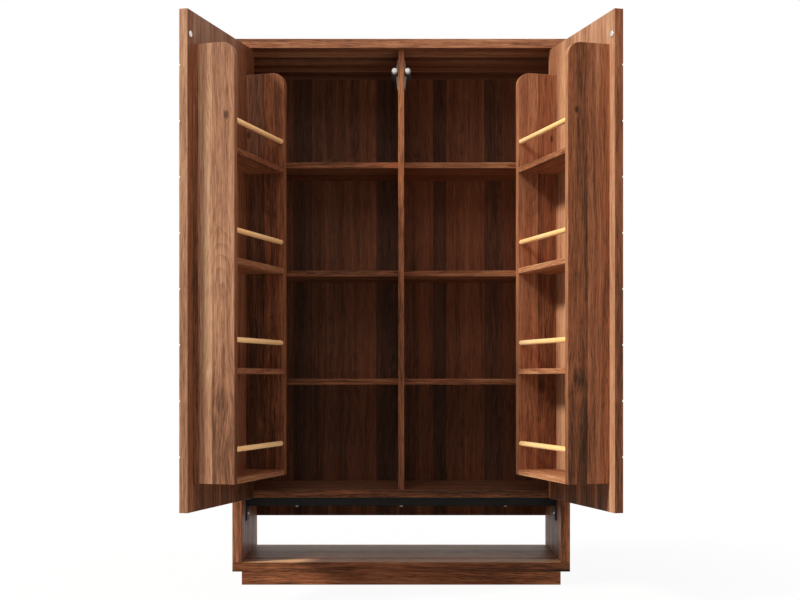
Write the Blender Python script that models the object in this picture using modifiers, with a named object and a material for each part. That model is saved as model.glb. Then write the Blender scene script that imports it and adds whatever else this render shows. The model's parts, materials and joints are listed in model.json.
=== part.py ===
"""Tall kitchen buffet cabinet with two inset doors that carry storage racks on their inner faces.

The cabinet stands on the floor at z = 0 with its footprint centred on the origin, and it faces -Y.
Both doors rest open. Lengths are metres and angles are degrees.
"""

import math

import bmesh
import bpy
from mathutils import Matrix
from mathutils import Vector

# Carcass
WIDTH = 0.900
DEPTH = 0.380
CARCASS_BOARD = 0.025
NICHE_HEIGHT = 0.170
INSIDE_HEIGHT = 1.180
BOTTOM_BOARD = 0.020
SHELF_BOARD = 0.016
SHELF_ROWS = 3
HOUSING_DEPTH = 0.005
BACK_BOARD = 0.008
BACK_DROP = 0.083

# Plinth under the base panel
PLINTH_HEIGHT = 0.035
PLINTH_BOARD = 0.018
PLINTH_SIDE_INSET = 0.025
PLINTH_FRONT_INSET = 0.001
PLINTH_BACK_INSET = 0.020

# Doors, inset between the side panels and flush with the front
DOOR_BOARD = 0.022
DOOR_SIDE_GAP = 0.002
DOOR_TOP_GAP = 0.002
DOOR_MEET_GAP = 0.003
DOOR_STOP_GAP = 0.002
DOOR_EDGE_RADIUS = 0.0035
OPEN_ANGLE = 105.4
GROOVES = 8
GROOVE_DEPTH = 0.003

# Pivot hinges: the pin's axis lies inside the door's thickness
PIVOT_INSET = 0.012
PIVOT_DEPTH = 0.008
PIN_RADIUS = 0.004
PIN_REACH = 0.018
BUSH_WALL = 0.0015
BUSH_END_GAP = 0.002
PIVOT_PLATE = 0.003
PIVOT_PLATE_WIDTH = 0.024
PIVOT_PLATE_LENGTH = 0.070
PIVOT_PLATE_SETBACK = 0.002

# Racks on the doors
RACK_BOARD = 0.018
RACK_DEPTH = 0.107
RACK_RISE = 0.068
RACK_HINGE_INSET = 0.0375
RACK_CORNER_RADIUS = 0.032
RACK_SHELVES = 4
RACK_SHELF_BOARD = 0.014
ROD_RADIUS = 0.006
ROD_RISE = 0.068
ROD_EDGE = 0.009
ROD_SOCKET = 0.008

# Push latches on the divider and the strikes that they meet
LATCH_DROP = 0.054
LATCH_RADIUS = 0.009
LATCH_LENGTH = 0.100
LATCH_PLATE = 0.0025
LATCH_PLATE_WIDTH = 0.034
LATCH_PLATE_HEIGHT = 0.080
LATCH_AXIS_OFFSET = 0.0095
PLUNGER_TIP_RADIUS = 0.007
PLUNGER_TIP_LENGTH = 0.0035
PLUNGER_STEM_RADIUS = 0.0035
PLUNGER_STEM_LENGTH = 0.018
PLUNGER_TRAVEL = 0.004
STRIKE_RADIUS = 0.008
STRIKE_THICKNESS = 0.0014
STRIKE_STUD_RADIUS = 0.002
STRIKE_STUD_LENGTH = 0.009
STRIKE_DROP = 0.006

# Steel support bar under the bottom panel
BAR_WIDTH = 0.050
BAR_HEIGHT = 0.030
BAR_WALL = 0.002
BAR_SETBACK = 0.096
BAR_END_PLATE = 0.003
BAR_END_HEIGHT = 0.070
BAR_SCREW_SPACING = 0.287
SCREW_HEAD_RADIUS = 0.005
SCREW_HEAD_HEIGHT = 0.003
SCREW_SHANK_RADIUS = 0.0025
SCREW_BITE = 0.013
END_SCREW_DROP = 0.050

# Clearances and finish
FIT = 0.0003
SWING_GAP = 0.0015
RACK_SHELF_GAP = 0.004
RACK_LATCH_GAP = 0.017
EDGE_BREAK = 0.0008
ROUND_SIDES = 24
CORNER_STEPS = 8
OVERCUT = 0.002

# Planes of the carcass
SIDES = {"left": -1, "right": 1}
HALF_WIDTH = WIDTH / 2
INNER_HALF = HALF_WIDTH - CARCASS_BOARD
FRONT = -DEPTH / 2
BACK = DEPTH / 2
BASE_BOTTOM = PLINTH_HEIGHT
NICHE_FLOOR = BASE_BOTTOM + CARCASS_BOARD
NICHE_ROOF = NICHE_FLOOR + NICHE_HEIGHT
INSIDE_FLOOR = NICHE_ROOF + BOTTOM_BOARD
INSIDE_ROOF = INSIDE_FLOOR + INSIDE_HEIGHT
BACK_FACE = BACK - BACK_BOARD
DIVIDER_HALF = SHELF_BOARD / 2
DIVIDER_FRONT = FRONT + DOOR_BOARD + DOOR_STOP_GAP
SHELF_FRONT = FRONT + DOOR_BOARD + RACK_DEPTH + RACK_SHELF_GAP
COMPARTMENT = (INSIDE_HEIGHT - SHELF_ROWS * SHELF_BOARD) / (SHELF_ROWS + 1)

# Door leaf and its axis. The bottom panel stays behind the swing of the door's hinge-side corner.
DOOR_WIDTH = (2 * INNER_HALF - 2 * DOOR_SIDE_GAP - DOOR_MEET_GAP) / 2
DOOR_BOTTOM = NICHE_ROOF
DOOR_TOP = INSIDE_ROOF - DOOR_TOP_GAP
AXIS_X = INNER_HALF - DOOR_SIDE_GAP - PIVOT_INSET
AXIS_Y = FRONT + PIVOT_DEPTH
CORNER_SWING = math.hypot(PIVOT_INSET, DOOR_BOARD - PIVOT_DEPTH)
BOTTOM_FRONT = AXIS_Y + CORNER_SWING + SWING_GAP
BUSH_RADIUS = PIN_RADIUS + FIT + BUSH_WALL
BUSH_LENGTH = PIN_REACH + BUSH_END_GAP

# Latch and rack. The rack's meeting side is as near the meeting edge as its swing past the latch allows.
LATCH_HEIGHT = INSIDE_ROOF - LATCH_DROP
LATCH_X = DIVIDER_HALF + LATCH_AXIS_OFFSET
TIP_FRONT = FRONT + DOOR_BOARD + FIT + STRIKE_THICKNESS + FIT
LATCH_FRONT = TIP_FRONT + PLUNGER_TIP_LENGTH + PLUNGER_TRAVEL + FIT
RACK_BOTTOM = DOOR_BOTTOM + RACK_RISE
RACK_TOP = LATCH_HEIGHT - LATCH_RADIUS - RACK_LATCH_GAP
RACK_PITCH = (RACK_TOP - RACK_BOTTOM) / RACK_SHELVES
RACK_SWING = AXIS_X - DIVIDER_HALF - FIT - LATCH_PLATE - SWING_GAP
RACK_REACH = DOOR_BOARD + RACK_DEPTH - PIVOT_DEPTH
RACK_MEET_EDGE = math.sqrt(RACK_SWING**2 - RACK_REACH**2) + PIVOT_INSET
RACK_HINGE_FACE = RACK_HINGE_INSET + RACK_BOARD
RACK_MEET_FACE = RACK_MEET_EDGE - RACK_BOARD

# Middle line of the support bar
BAR_Y = FRONT + BAR_SETBACK + BAR_WIDTH / 2
BAR_BOTTOM = NICHE_ROOF - FIT - BAR_HEIGHT

AXIS_TURNS = {
    "X": Matrix.Rotation(math.pi / 2, 4, "Y"),
    "Y": Matrix.Rotation(math.pi / 2, 4, "X"),
    "Z": Matrix.Identity(4),
}


def new_collection(name):
    made = bpy.data.collections.new(name)
    bpy.context.scene.collection.children.link(made)
    return made


def new_material(name, colour, roughness, metallic):
    made = bpy.data.materials.new(name)
    made.use_nodes = True
    shader = made.node_tree.nodes["Principled BSDF"]
    shader.inputs["Base Color"].default_value = (*colour, 1.0)
    shader.inputs["Roughness"].default_value = roughness
    shader.inputs["Metallic"].default_value = metallic
    return made


for old in list(bpy.data.objects):
    bpy.data.objects.remove(old, do_unlink=True)

PARTS = new_collection("tall_buffet_cabinet")
CUTTERS = new_collection("cutters")
CUTTERS.hide_render = True

WALNUT = new_material("walnut", (0.230, 0.102, 0.052), 0.50, 0.0)
BRASS = new_material("satin_brass", (0.730, 0.480, 0.220), 0.32, 1.0)
BLACK_STEEL = new_material("black_steel", (0.011, 0.012, 0.011), 0.45, 0.0)
BRIGHT_STEEL = new_material("bright_steel", (0.620, 0.610, 0.590), 0.28, 1.0)
GREY_PLASTIC = new_material("grey_plastic", (0.160, 0.158, 0.155), 0.50, 0.0)
WHITE_NYLON = new_material("white_nylon", (0.800, 0.790, 0.770), 0.42, 0.0)


def add_object(name, mesh, collection, location=(0, 0, 0), rotation=(0, 0, 0), parent=None):
    made = bpy.data.objects.new(name, mesh)
    made.location = location
    made.rotation_euler = rotation
    made.parent = parent
    collection.objects.link(made)
    return made


def mesh_from(name, shapes):
    mesh = bpy.data.meshes.new(name)
    shapes.to_mesh(mesh)
    shapes.free()
    return mesh


def add_box(shapes, low, high, turn=None):
    """Adds a box between two opposite corners, turned about its own centre."""
    low = Vector(low)
    high = Vector(high)
    size = [abs(side) for side in high - low]
    place = Matrix.Translation((low + high) / 2) @ (turn or Matrix.Identity(4))
    bmesh.ops.create_cube(shapes, size=1.0, matrix=place @ Matrix.Diagonal((*size, 1.0)))


def add_cylinder(shapes, centre, axis, radius, length):
    bmesh.ops.create_cone(
        shapes,
        cap_ends=True,
        segments=ROUND_SIDES,
        radius1=radius,
        radius2=radius,
        depth=length,
        matrix=Matrix.Translation(centre) @ AXIS_TURNS[axis],
    )


def boxes(*corners):
    """The shapes of one or more boxes, each a pair of opposite corners."""
    shapes = bmesh.new()
    for low, high in corners:
        add_box(shapes, low, high)
    return shapes


def boolean(target, shapes, operation):
    """Cuts the shapes from the target or joins them to it. They are in the space of the target's parent."""
    name = f"{target.name}_{operation.lower()}"
    tool = add_object(name, mesh_from(name, shapes), CUTTERS, parent=target.parent)
    tool.hide_render = True
    tool.display_type = "WIRE"
    modifier = target.modifiers.new(operation.lower(), "BOOLEAN")
    modifier.operation = operation
    modifier.solver = "EXACT"
    modifier.object = tool


def block(name, low, high, material, parent=None, rounded=None):
    """A box with its edges broken. rounded is a radius and the sides, as axis and sign, of one edge to round."""
    low = Vector(low)
    high = Vector(high)
    middle = (low + high) / 2
    shapes = boxes((low - middle, high - middle))
    if rounded:
        radius, sides = rounded
        chosen = [
            edge
            for edge in shapes.edges
            if all(corner.co[axis] * sign > 0 for corner in edge.verts for axis, sign in sides)
        ]
        bmesh.ops.bevel(
            shapes,
            geom=chosen,
            offset=radius,
            offset_type="OFFSET",
            segments=CORNER_STEPS,
            profile=0.5,
            affect="EDGES",
        )
    made = add_object(name, mesh_from(name, shapes), PARTS, location=middle, parent=parent)
    made.data.materials.append(material)
    edges = made.modifiers.new("broken_edges", "BEVEL")
    edges.width = EDGE_BREAK
    edges.segments = 1
    edges.limit_method = "ANGLE"
    edges.angle_limit = math.radians(30)
    return made


def turned(name, profile, material, location, rotation=(0, 0, 0), parent=None, ring=False):
    """A lathe-turned piece about its own Z, from (radius, height) points that run down its outside."""
    points = [(radius, 0.0, height) for radius, height in profile]
    lines = [(index, index + 1) for index in range(len(points) - 1)]
    if ring:
        lines.append((len(points) - 1, 0))
    mesh = bpy.data.meshes.new(name)
    mesh.from_pydata(points, lines, [])
    made = add_object(name, mesh, PARTS, location, rotation, parent)
    made.data.materials.append(material)
    lathe = made.modifiers.new("lathe", "SCREW")
    lathe.steps = ROUND_SIDES
    lathe.render_steps = ROUND_SIDES
    lathe.use_merge_vertices = True
    lathe.merge_threshold = 0.00001
    return made


def build_plinth():
    """A five-board frame under the base panel, flush with the front and set in at the sides and back."""
    half = HALF_WIDTH - PLINTH_SIDE_INSET
    front = FRONT + PLINTH_FRONT_INSET
    back = BACK - PLINTH_BACK_INSET
    inside_front = front + PLINTH_BOARD + FIT
    inside_back = back - PLINTH_BOARD - FIT
    top = PLINTH_HEIGHT - FIT
    block("plinth_front", (-half, front, 0), (half, front + PLINTH_BOARD, top), WALNUT)
    block("plinth_back", (-half, back - PLINTH_BOARD, 0), (half, back, top), WALNUT)
    for name, side in SIDES.items():
        outer = (side * half, inside_front, 0)
        inner = (side * (half - PLINTH_BOARD), inside_back, top)
        block(f"plinth_{name}_end", outer, inner, WALNUT)
    brace = PLINTH_BOARD / 2
    block("plinth_brace", (-brace, inside_front, 0), (brace, inside_back, top), WALNUT)


def shelf_floor(row):
    """The underside of an inside shelf, counted up from the lowest row."""
    return INSIDE_FLOOR + COMPARTMENT + row * (COMPARTMENT + SHELF_BOARD)


def shelf_housings(face, outward):
    """Cutters for the grooves that take one column of shelf ends, in a face that looks along outward."""
    cutters = []
    for row in range(SHELF_ROWS):
        low = shelf_floor(row) - FIT
        high = shelf_floor(row) + SHELF_BOARD + FIT
        deep = (face - outward * HOUSING_DEPTH, SHELF_FRONT - FIT, low)
        open_end = (face + outward * OVERCUT, BACK_FACE, high)
        cutters.append((deep, open_end))
    return cutters


def build_carcass():
    """Base, sides, bottom, divider, back and top. Shelf and bottom ends sit in grooves of the uprights."""
    block("base_panel", (-HALF_WIDTH, FRONT, BASE_BOTTOM), (HALF_WIDTH, BACK, NICHE_FLOOR), WALNUT)

    for name, side in SIDES.items():
        low = (side * HALF_WIDTH, FRONT, NICHE_FLOOR + FIT)
        high = (side * INNER_HALF, BACK, INSIDE_ROOF - FIT)
        panel = block(f"{name}_side_panel", low, high, WALNUT)
        face = side * INNER_HALF
        deep = (face + side * HOUSING_DEPTH, BOTTOM_FRONT - FIT, NICHE_ROOF - FIT)
        open_end = (face - side * OVERCUT, BACK_FACE, INSIDE_FLOOR + FIT)
        cutters = boxes((deep, open_end), *shelf_housings(face, -side))
        screw_hole = (face, BAR_Y, NICHE_ROOF - END_SCREW_DROP)
        add_cylinder(cutters, screw_hole, "X", SCREW_SHANK_RADIUS + FIT, 2 * (SCREW_BITE + FIT))
        boolean(panel, cutters, "DIFFERENCE")

    reach = INNER_HALF + HOUSING_DEPTH - FIT
    bottom_low = (-reach, BOTTOM_FRONT, NICHE_ROOF)
    bottom_high = (reach, BACK_FACE - FIT, INSIDE_FLOOR)
    bottom = block("bottom_panel", bottom_low, bottom_high, WALNUT)
    cutters = bmesh.new()
    for step in (-1, 0, 1):
        screw_hole = (step * BAR_SCREW_SPACING, BAR_Y, NICHE_ROOF)
        add_cylinder(cutters, screw_hole, "Z", SCREW_SHANK_RADIUS + FIT, 2 * (SCREW_BITE + FIT))
    boolean(bottom, cutters, "DIFFERENCE")

    divider_low = (-DIVIDER_HALF, DIVIDER_FRONT, INSIDE_FLOOR + FIT)
    divider_high = (DIVIDER_HALF, BACK_FACE - FIT, INSIDE_ROOF - FIT)
    divider = block("center_divider", divider_low, divider_high, WALNUT)
    housings = shelf_housings(-DIVIDER_HALF, -1) + shelf_housings(DIVIDER_HALF, 1)
    boolean(divider, boxes(*housings), "DIFFERENCE")

    back_low = (-INNER_HALF + FIT, BACK_FACE, NICHE_ROOF - BACK_DROP)
    back_high = (INNER_HALF - FIT, BACK, INSIDE_ROOF - FIT)
    block("back_panel", back_low, back_high, WALNUT)

    top_low = (-HALF_WIDTH, FRONT, INSIDE_ROOF)
    top_high = (HALF_WIDTH, BACK, INSIDE_ROOF + CARCASS_BOARD)
    top = block("top_panel", top_low, top_high, WALNUT)
    recesses = []
    for side in SIDES.values():
        middle = side * AXIS_X
        half = PIVOT_PLATE_WIDTH / 2 + FIT
        near = FRONT + PIVOT_PLATE_SETBACK - FIT
        far = FRONT + PIVOT_PLATE_SETBACK + PIVOT_PLATE_LENGTH + FIT
        low = (middle - half, near, INSIDE_ROOF - OVERCUT)
        recesses.append((low, (middle + half, far, INSIDE_ROOF + PIVOT_PLATE + FIT)))
    boolean(top, boxes(*recesses), "DIFFERENCE")


def build_shelves():
    """Three shelves in each bay, set back so that the door racks close in front of them."""
    for name, side in SIDES.items():
        for row in range(SHELF_ROWS):
            outer = side * (INNER_HALF + HOUSING_DEPTH - FIT)
            inner = side * (DIVIDER_HALF - HOUSING_DEPTH + FIT)
            low = (outer, SHELF_FRONT, shelf_floor(row))
            high = (inner, BACK_FACE - FIT, shelf_floor(row) + SHELF_BOARD)
            block(f"{name}_shelf_{row + 1}", low, high, WALNUT)


def screw_profile(shank):
    """A pan-head screw with the shank's tip up and the underside of the head at height 0."""
    return [
        (0.0, shank),
        (SCREW_SHANK_RADIUS * 0.4, shank),
        (SCREW_SHANK_RADIUS, shank - SCREW_SHANK_RADIUS),
        (SCREW_SHANK_RADIUS, 0.0),
        (SCREW_HEAD_RADIUS, 0.0),
        (SCREW_HEAD_RADIUS, -SCREW_HEAD_HEIGHT * 0.45),
        (SCREW_HEAD_RADIUS * 0.72, -SCREW_HEAD_HEIGHT * 0.88),
        (0.0, -SCREW_HEAD_HEIGHT),
    ]


def build_support_bar():
    """A steel channel, open upwards, with a plate welded on each end. Screws hold it to the panels."""
    end = INNER_HALF - FIT
    near = BAR_Y - BAR_WIDTH / 2
    far = BAR_Y + BAR_WIDTH / 2
    roof = NICHE_ROOF - FIT
    bar = block("support_bar", (-end, near, BAR_BOTTOM), (end, far, roof), BLACK_STEEL)
    plates = []
    for side in SIDES.values():
        outer = (side * end, near, NICHE_ROOF - BAR_END_HEIGHT)
        plates.append((outer, (side * (end - BAR_END_PLATE), far, roof)))
    boolean(bar, boxes(*plates), "UNION")

    hollow_end = end - BAR_END_PLATE
    hollow_low = (-hollow_end, near + BAR_WALL, BAR_BOTTOM + BAR_WALL)
    hollow_high = (hollow_end, far - BAR_WALL, roof + OVERCUT)
    boolean(bar, boxes((hollow_low, hollow_high)), "DIFFERENCE")
    holes = bmesh.new()
    bore = SCREW_SHANK_RADIUS + FIT
    for step in (-1, 0, 1):
        centre = (step * BAR_SCREW_SPACING, BAR_Y, BAR_BOTTOM + BAR_WALL / 2)
        add_cylinder(holes, centre, "Z", bore, 2 * BAR_WALL)
    for side in SIDES.values():
        centre = (side * (end - BAR_END_PLATE / 2), BAR_Y, NICHE_ROOF - END_SCREW_DROP)
        add_cylinder(holes, centre, "X", bore, 2 * BAR_END_PLATE)
    boolean(bar, holes, "DIFFERENCE")

    shank = FIT + BAR_HEIGHT + FIT + SCREW_BITE
    for name, step in (("left", -1), ("center", 0), ("right", 1)):
        seat = (step * BAR_SCREW_SPACING, BAR_Y, BAR_BOTTOM - FIT)
        turned(f"bar_screw_{name}", screw_profile(shank), BRIGHT_STEEL, seat)

    shank = FIT + BAR_END_PLATE + FIT + SCREW_BITE
    for name, side in SIDES.items():
        seat = (side * (hollow_end - FIT), BAR_Y, NICHE_ROOF - END_SCREW_DROP)
        turn = (0, side * math.pi / 2, 0)
        turned(f"{name}_bar_end_screw", screw_profile(shank), BRIGHT_STEEL, seat, turn)


def build_pivots():
    """Plates with a pin on each door's axis: one let into the top panel, one under the bottom panel."""
    half = PIVOT_PLATE_WIDTH / 2
    near = FRONT + PIVOT_PLATE_SETBACK
    far = near + PIVOT_PLATE_LENGTH
    for name, side in SIDES.items():
        axis = side * AXIS_X
        top_end = (axis + half, far, INSIDE_ROOF + PIVOT_PLATE)
        plate = block(f"{name}_top_pivot", (axis - half, near, INSIDE_ROOF), top_end, BRIGHT_STEEL)
        root = INSIDE_ROOF + PIVOT_PLATE / 2
        tip = DOOR_TOP - PIN_REACH
        pin = bmesh.new()
        add_cylinder(pin, (axis, AXIS_Y, (root + tip) / 2), "Z", PIN_RADIUS, root - tip)
        boolean(plate, pin, "UNION")

        roof = DOOR_BOTTOM - FIT
        bottom_end = (axis + half, far, roof)
        foot = (axis - half, near, roof - PIVOT_PLATE)
        plate = block(f"{name}_bottom_pivot", foot, bottom_end, BLACK_STEEL)
        root = roof - PIVOT_PLATE / 2
        tip = DOOR_BOTTOM + PIN_REACH
        pin = bmesh.new()
        add_cylinder(pin, (axis, AXIS_Y, (root + tip) / 2), "Z", PIN_RADIUS, tip - root)
        boolean(plate, pin, "UNION")


def build_latches():
    """A push latch on each face of the divider: a round housing on a plate, and its sprung plunger."""
    for name, side in SIDES.items():
        face = side * (DIVIDER_HALF + FIT)
        middle = LATCH_FRONT + LATCH_LENGTH / 2
        half = LATCH_PLATE_HEIGHT / 2
        plate_low = (face, middle - LATCH_PLATE_WIDTH / 2, LATCH_HEIGHT - half)
        plate_high = (face + side * LATCH_PLATE, middle + LATCH_PLATE_WIDTH / 2, LATCH_HEIGHT + half)
        housing = block(f"{name}_latch_housing", plate_low, plate_high, GREY_PLASTIC)
        body = bmesh.new()
        add_cylinder(body, (side * LATCH_X, middle, LATCH_HEIGHT), "Y", LATCH_RADIUS, LATCH_LENGTH)
        boolean(housing, body, "UNION")

        mouth = LATCH_FRONT - OVERCUT
        depth = PLUNGER_STEM_LENGTH + OVERCUT
        cutters = bmesh.new()
        bore = (side * LATCH_X, mouth + depth / 2 + FIT, LATCH_HEIGHT)
        add_cylinder(cutters, bore, "Y", PLUNGER_STEM_RADIUS + FIT, depth)
        boolean(housing, cutters, "DIFFERENCE")

        origin = (side * LATCH_X, TIP_FRONT, LATCH_HEIGHT)
        tip = PLUNGER_TIP_RADIUS
        shoulder = -PLUNGER_TIP_LENGTH
        stem_end = shoulder - PLUNGER_STEM_LENGTH
        profile = [
            (0.0, 0.0),
            (tip * 0.7, -0.12 * PLUNGER_TIP_LENGTH),
            (tip, -0.45 * PLUNGER_TIP_LENGTH),
            (tip, shoulder),
            (PLUNGER_STEM_RADIUS, shoulder),
            (PLUNGER_STEM_RADIUS, stem_end),
            (0.0, stem_end),
        ]
        turned(f"{name}_latch_plunger", profile, WHITE_NYLON, origin, (math.pi / 2, 0, 0))


def build_door(name, side):
    """One door leaf with its bushes, strike and rack, hung from an empty on the pivot axis.

    Pieces are placed for the shut door, by their distance across it from the hinge edge, their distance
    behind its front face and their height. The empty then turns them open.
    """
    hinge = add_object(f"{name}_door_axis", None, PARTS, location=(side * AXIS_X, AXIS_Y, 0))
    hinge.rotation_euler.z = side * math.radians(OPEN_ANGLE)

    def at(across, behind, height):
        return (side * (PIVOT_INSET - across), behind - PIVOT_DEPTH, height)

    def door_block(part, low, high, rounded=None):
        return block(f"{name}_{part}", at(*low), at(*high), WALNUT, hinge, rounded)

    # Leaf: its outer hinge edge is rounded to clear the side panel, and grooves cross its outer face
    leaf_low = (0, 0, DOOR_BOTTOM)
    leaf_high = (DOOR_WIDTH, DOOR_BOARD, DOOR_TOP)
    outer_hinge_edge = (DOOR_EDGE_RADIUS, [(0, side), (1, -1)])
    leaf = door_block("door_panel", leaf_low, leaf_high, outer_hinge_edge)
    cutters = bmesh.new()
    band = (DOOR_TOP - DOOR_BOTTOM) / (GROOVES + 1)
    edge = GROOVE_DEPTH / math.sqrt(2)
    for count in range(GROOVES):
        height = DOOR_BOTTOM + (count + 1) * band
        low = at(-OVERCUT, -edge, height - edge)
        high = at(DOOR_WIDTH + OVERCUT, edge, height + edge)
        add_box(cutters, low, high, Matrix.Rotation(math.pi / 4, 4, "X"))
    socket = BUSH_LENGTH + FIT
    for end in (DOOR_TOP, DOOR_BOTTOM):
        add_cylinder(cutters, (0, 0, end), "Z", BUSH_RADIUS + FIT, 2 * socket)
    strike_across = DOOR_WIDTH + DOOR_MEET_GAP / 2 - LATCH_X
    strike_seat = at(strike_across, DOOR_BOARD + FIT, LATCH_HEIGHT - STRIKE_DROP)
    stud_bore = at(strike_across, DOOR_BOARD, LATCH_HEIGHT - STRIKE_DROP)
    add_cylinder(cutters, stud_bore, "Y", STRIKE_STUD_RADIUS + FIT, 2 * (STRIKE_STUD_LENGTH + FIT))
    boolean(leaf, cutters, "DIFFERENCE")

    # Bushes in the top and bottom edges
    bore = PIN_RADIUS + FIT
    ring = [(BUSH_RADIUS, BUSH_LENGTH), (BUSH_RADIUS, 0.0), (bore, 0.0), (bore, BUSH_LENGTH)]
    for part, foot in (("top_bush", DOOR_TOP - BUSH_LENGTH), ("bottom_bush", DOOR_BOTTOM)):
        turned(f"{name}_{part}", ring, BRASS, (0, 0, foot), parent=hinge, ring=True)

    # Strike: a steel disc on a stud
    strike = [
        (0.0, STRIKE_THICKNESS),
        (STRIKE_RADIUS - STRIKE_THICKNESS / 2, STRIKE_THICKNESS),
        (STRIKE_RADIUS, STRIKE_THICKNESS / 2),
        (STRIKE_RADIUS, 0.0),
        (STRIKE_STUD_RADIUS, 0.0),
        (STRIKE_STUD_RADIUS, -STRIKE_STUD_LENGTH),
        (0.0, -STRIKE_STUD_LENGTH),
    ]
    turned(f"{name}_strike", strike, BRIGHT_STEEL, strike_seat, (-math.pi / 2, 0, 0), hinge)

    # Rack sides: boards on edge, each with its upper free corner rounded and sockets for the rods
    near = DOOR_BOARD + FIT
    free = DOOR_BOARD + RACK_DEPTH
    rod_line = free - ROD_EDGE
    tiers = [RACK_BOTTOM + RACK_SHELF_BOARD + tier * RACK_PITCH for tier in range(RACK_SHELVES)]
    free_corner = (RACK_CORNER_RADIUS, [(1, 1), (2, 1)])
    faces = (("rack_hinge_side", RACK_HINGE_FACE, -1), ("rack_meeting_side", RACK_MEET_FACE, 1))
    for part, face, outward in faces:
        low = (face, near, RACK_BOTTOM)
        high = (face + outward * RACK_BOARD, free, RACK_TOP)
        board = door_block(part, low, high, free_corner)
        sockets = bmesh.new()
        for tier in tiers:
            centre = at(face, rod_line, tier + ROD_RISE)
            add_cylinder(sockets, centre, "X", ROD_RADIUS + FIT, 2 * ROD_SOCKET)
        boolean(board, sockets, "DIFFERENCE")

    # Rack shelves and the retaining rod above each
    middle = (RACK_HINGE_FACE + RACK_MEET_FACE) / 2
    rod_length = RACK_MEET_FACE - RACK_HINGE_FACE + 2 * (ROD_SOCKET - FIT)
    for count, tier in enumerate(tiers, start=1):
        low = (RACK_HINGE_FACE + FIT, near, tier - RACK_SHELF_BOARD)
        high = (RACK_MEET_FACE - FIT, free, tier)
        door_block(f"rack_shelf_{count}", low, high)
        shapes = bmesh.new()
        add_cylinder(shapes, (0, 0, 0), "X", ROD_RADIUS, rod_length)
        rod_name = f"{name}_rack_rod_{count}"
        centre = at(middle, rod_line, tier + ROD_RISE)
        rod = add_object(rod_name, mesh_from(rod_name, shapes), PARTS, centre, parent=hinge)
        rod.data.materials.append(BRASS)


build_plinth()
build_carcass()
build_shelves()
build_support_bar()
build_pivots()
build_latches()
for side_name, side_sign in SIDES.items():
    build_door(side_name, side_sign)
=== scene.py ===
"""Looks of a tall kitchen buffet cabinet: walnut boards, brass rods, push latches and a steel bar."""

import json
import math
import random

import bmesh
import bpy
from mathutils import Matrix
from mathutils import Vector


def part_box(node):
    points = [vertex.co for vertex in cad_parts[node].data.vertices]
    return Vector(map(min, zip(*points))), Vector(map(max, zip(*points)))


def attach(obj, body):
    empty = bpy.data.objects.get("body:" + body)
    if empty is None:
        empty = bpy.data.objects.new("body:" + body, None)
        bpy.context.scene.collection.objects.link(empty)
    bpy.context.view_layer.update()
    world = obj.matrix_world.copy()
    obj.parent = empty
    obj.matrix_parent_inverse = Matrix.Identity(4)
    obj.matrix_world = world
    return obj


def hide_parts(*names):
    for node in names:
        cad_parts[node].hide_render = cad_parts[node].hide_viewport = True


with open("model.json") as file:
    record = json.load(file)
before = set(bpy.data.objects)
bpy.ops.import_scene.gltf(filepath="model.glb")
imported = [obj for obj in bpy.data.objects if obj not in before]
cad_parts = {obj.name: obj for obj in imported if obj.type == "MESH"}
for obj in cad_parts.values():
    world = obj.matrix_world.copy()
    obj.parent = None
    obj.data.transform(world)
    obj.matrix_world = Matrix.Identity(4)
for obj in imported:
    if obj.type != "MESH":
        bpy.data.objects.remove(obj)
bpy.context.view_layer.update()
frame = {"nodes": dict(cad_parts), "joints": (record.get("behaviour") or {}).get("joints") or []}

# Plinth: a five-board frame of walnut-veneered board under the base, glued and screwed edge to face.
# The front board is nearly flush with the base, and the ends and back are set in.
# Veneer is laid in leaves side by side, each with its own tone and figure, and a band covers every edge.


def place_node(tree, kind, feeds, **settings):
    """Adds a shader node. feeds gives an input its value, or another node's output to take it from."""
    node = tree.nodes.new("ShaderNode" + kind)
    for setting, value in settings.items():
        setattr(node, setting, value)
    for key, feed in feeds.items():
        if isinstance(feed, bpy.types.NodeSocket):
            tree.links.new(feed, node.inputs[key])
        else:
            node.inputs[key].default_value = feed
    return node


def reckon(tree, operation, *values):
    return place_node(tree, "Math", dict(enumerate(values)), operation=operation).outputs[0]


def ease(tree, value, low, high, to_low=0.0, to_high=1.0):
    """A smooth step of the value from one range to another."""
    feeds = {"Value": value, "From Min": low, "From Max": high, "To Min": to_low, "To Max": to_high}
    return place_node(tree, "MapRange", feeds, interpolation_type="SMOOTHSTEP").outputs[0]


def blend_colours(tree, share, first, second):
    return place_node(tree, "Mix", {0: share, 6: first, 7: second}, data_type="RGBA").outputs[2]


def open_group(name, takes, gives):
    """Starts a shader node group and returns its tree, what comes in and what goes out."""
    tree = bpy.data.node_groups.new(name, "ShaderNodeTree")
    for socket, kind in takes.items():
        tree.interface.new_socket(socket, in_out="INPUT", socket_type="NodeSocket" + kind)
    for socket, kind in gives.items():
        tree.interface.new_socket(socket, in_out="OUTPUT", socket_type="NodeSocket" + kind)
    return tree, tree.nodes.new("NodeGroupInput").outputs, tree.nodes.new("NodeGroupOutput").inputs


def fill_group(tree, name, feeds):
    return place_node(tree, "Group", feeds, node_tree=bpy.data.node_groups[name]).outputs


def streaks(tree, grain, across, along, detail):
    """Noise drawn out along the grain, with its cells per metre across the grain and along it."""
    drawn = place_node(tree, "VectorMath", {0: grain, 1: (across, across, along)}, operation="MULTIPLY")
    feeds = {"Vector": drawn.outputs[0], "Scale": 1.0, "Detail": detail}
    return place_node(tree, "TexNoise", feeds).outputs["Fac"]


def even_streaks(tree, grain, across, along, detail):
    """Streaks that swing evenly about zero."""
    return reckon(tree, "SUBTRACT", streaks(tree, grain, across, along, detail), 0.5)


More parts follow.
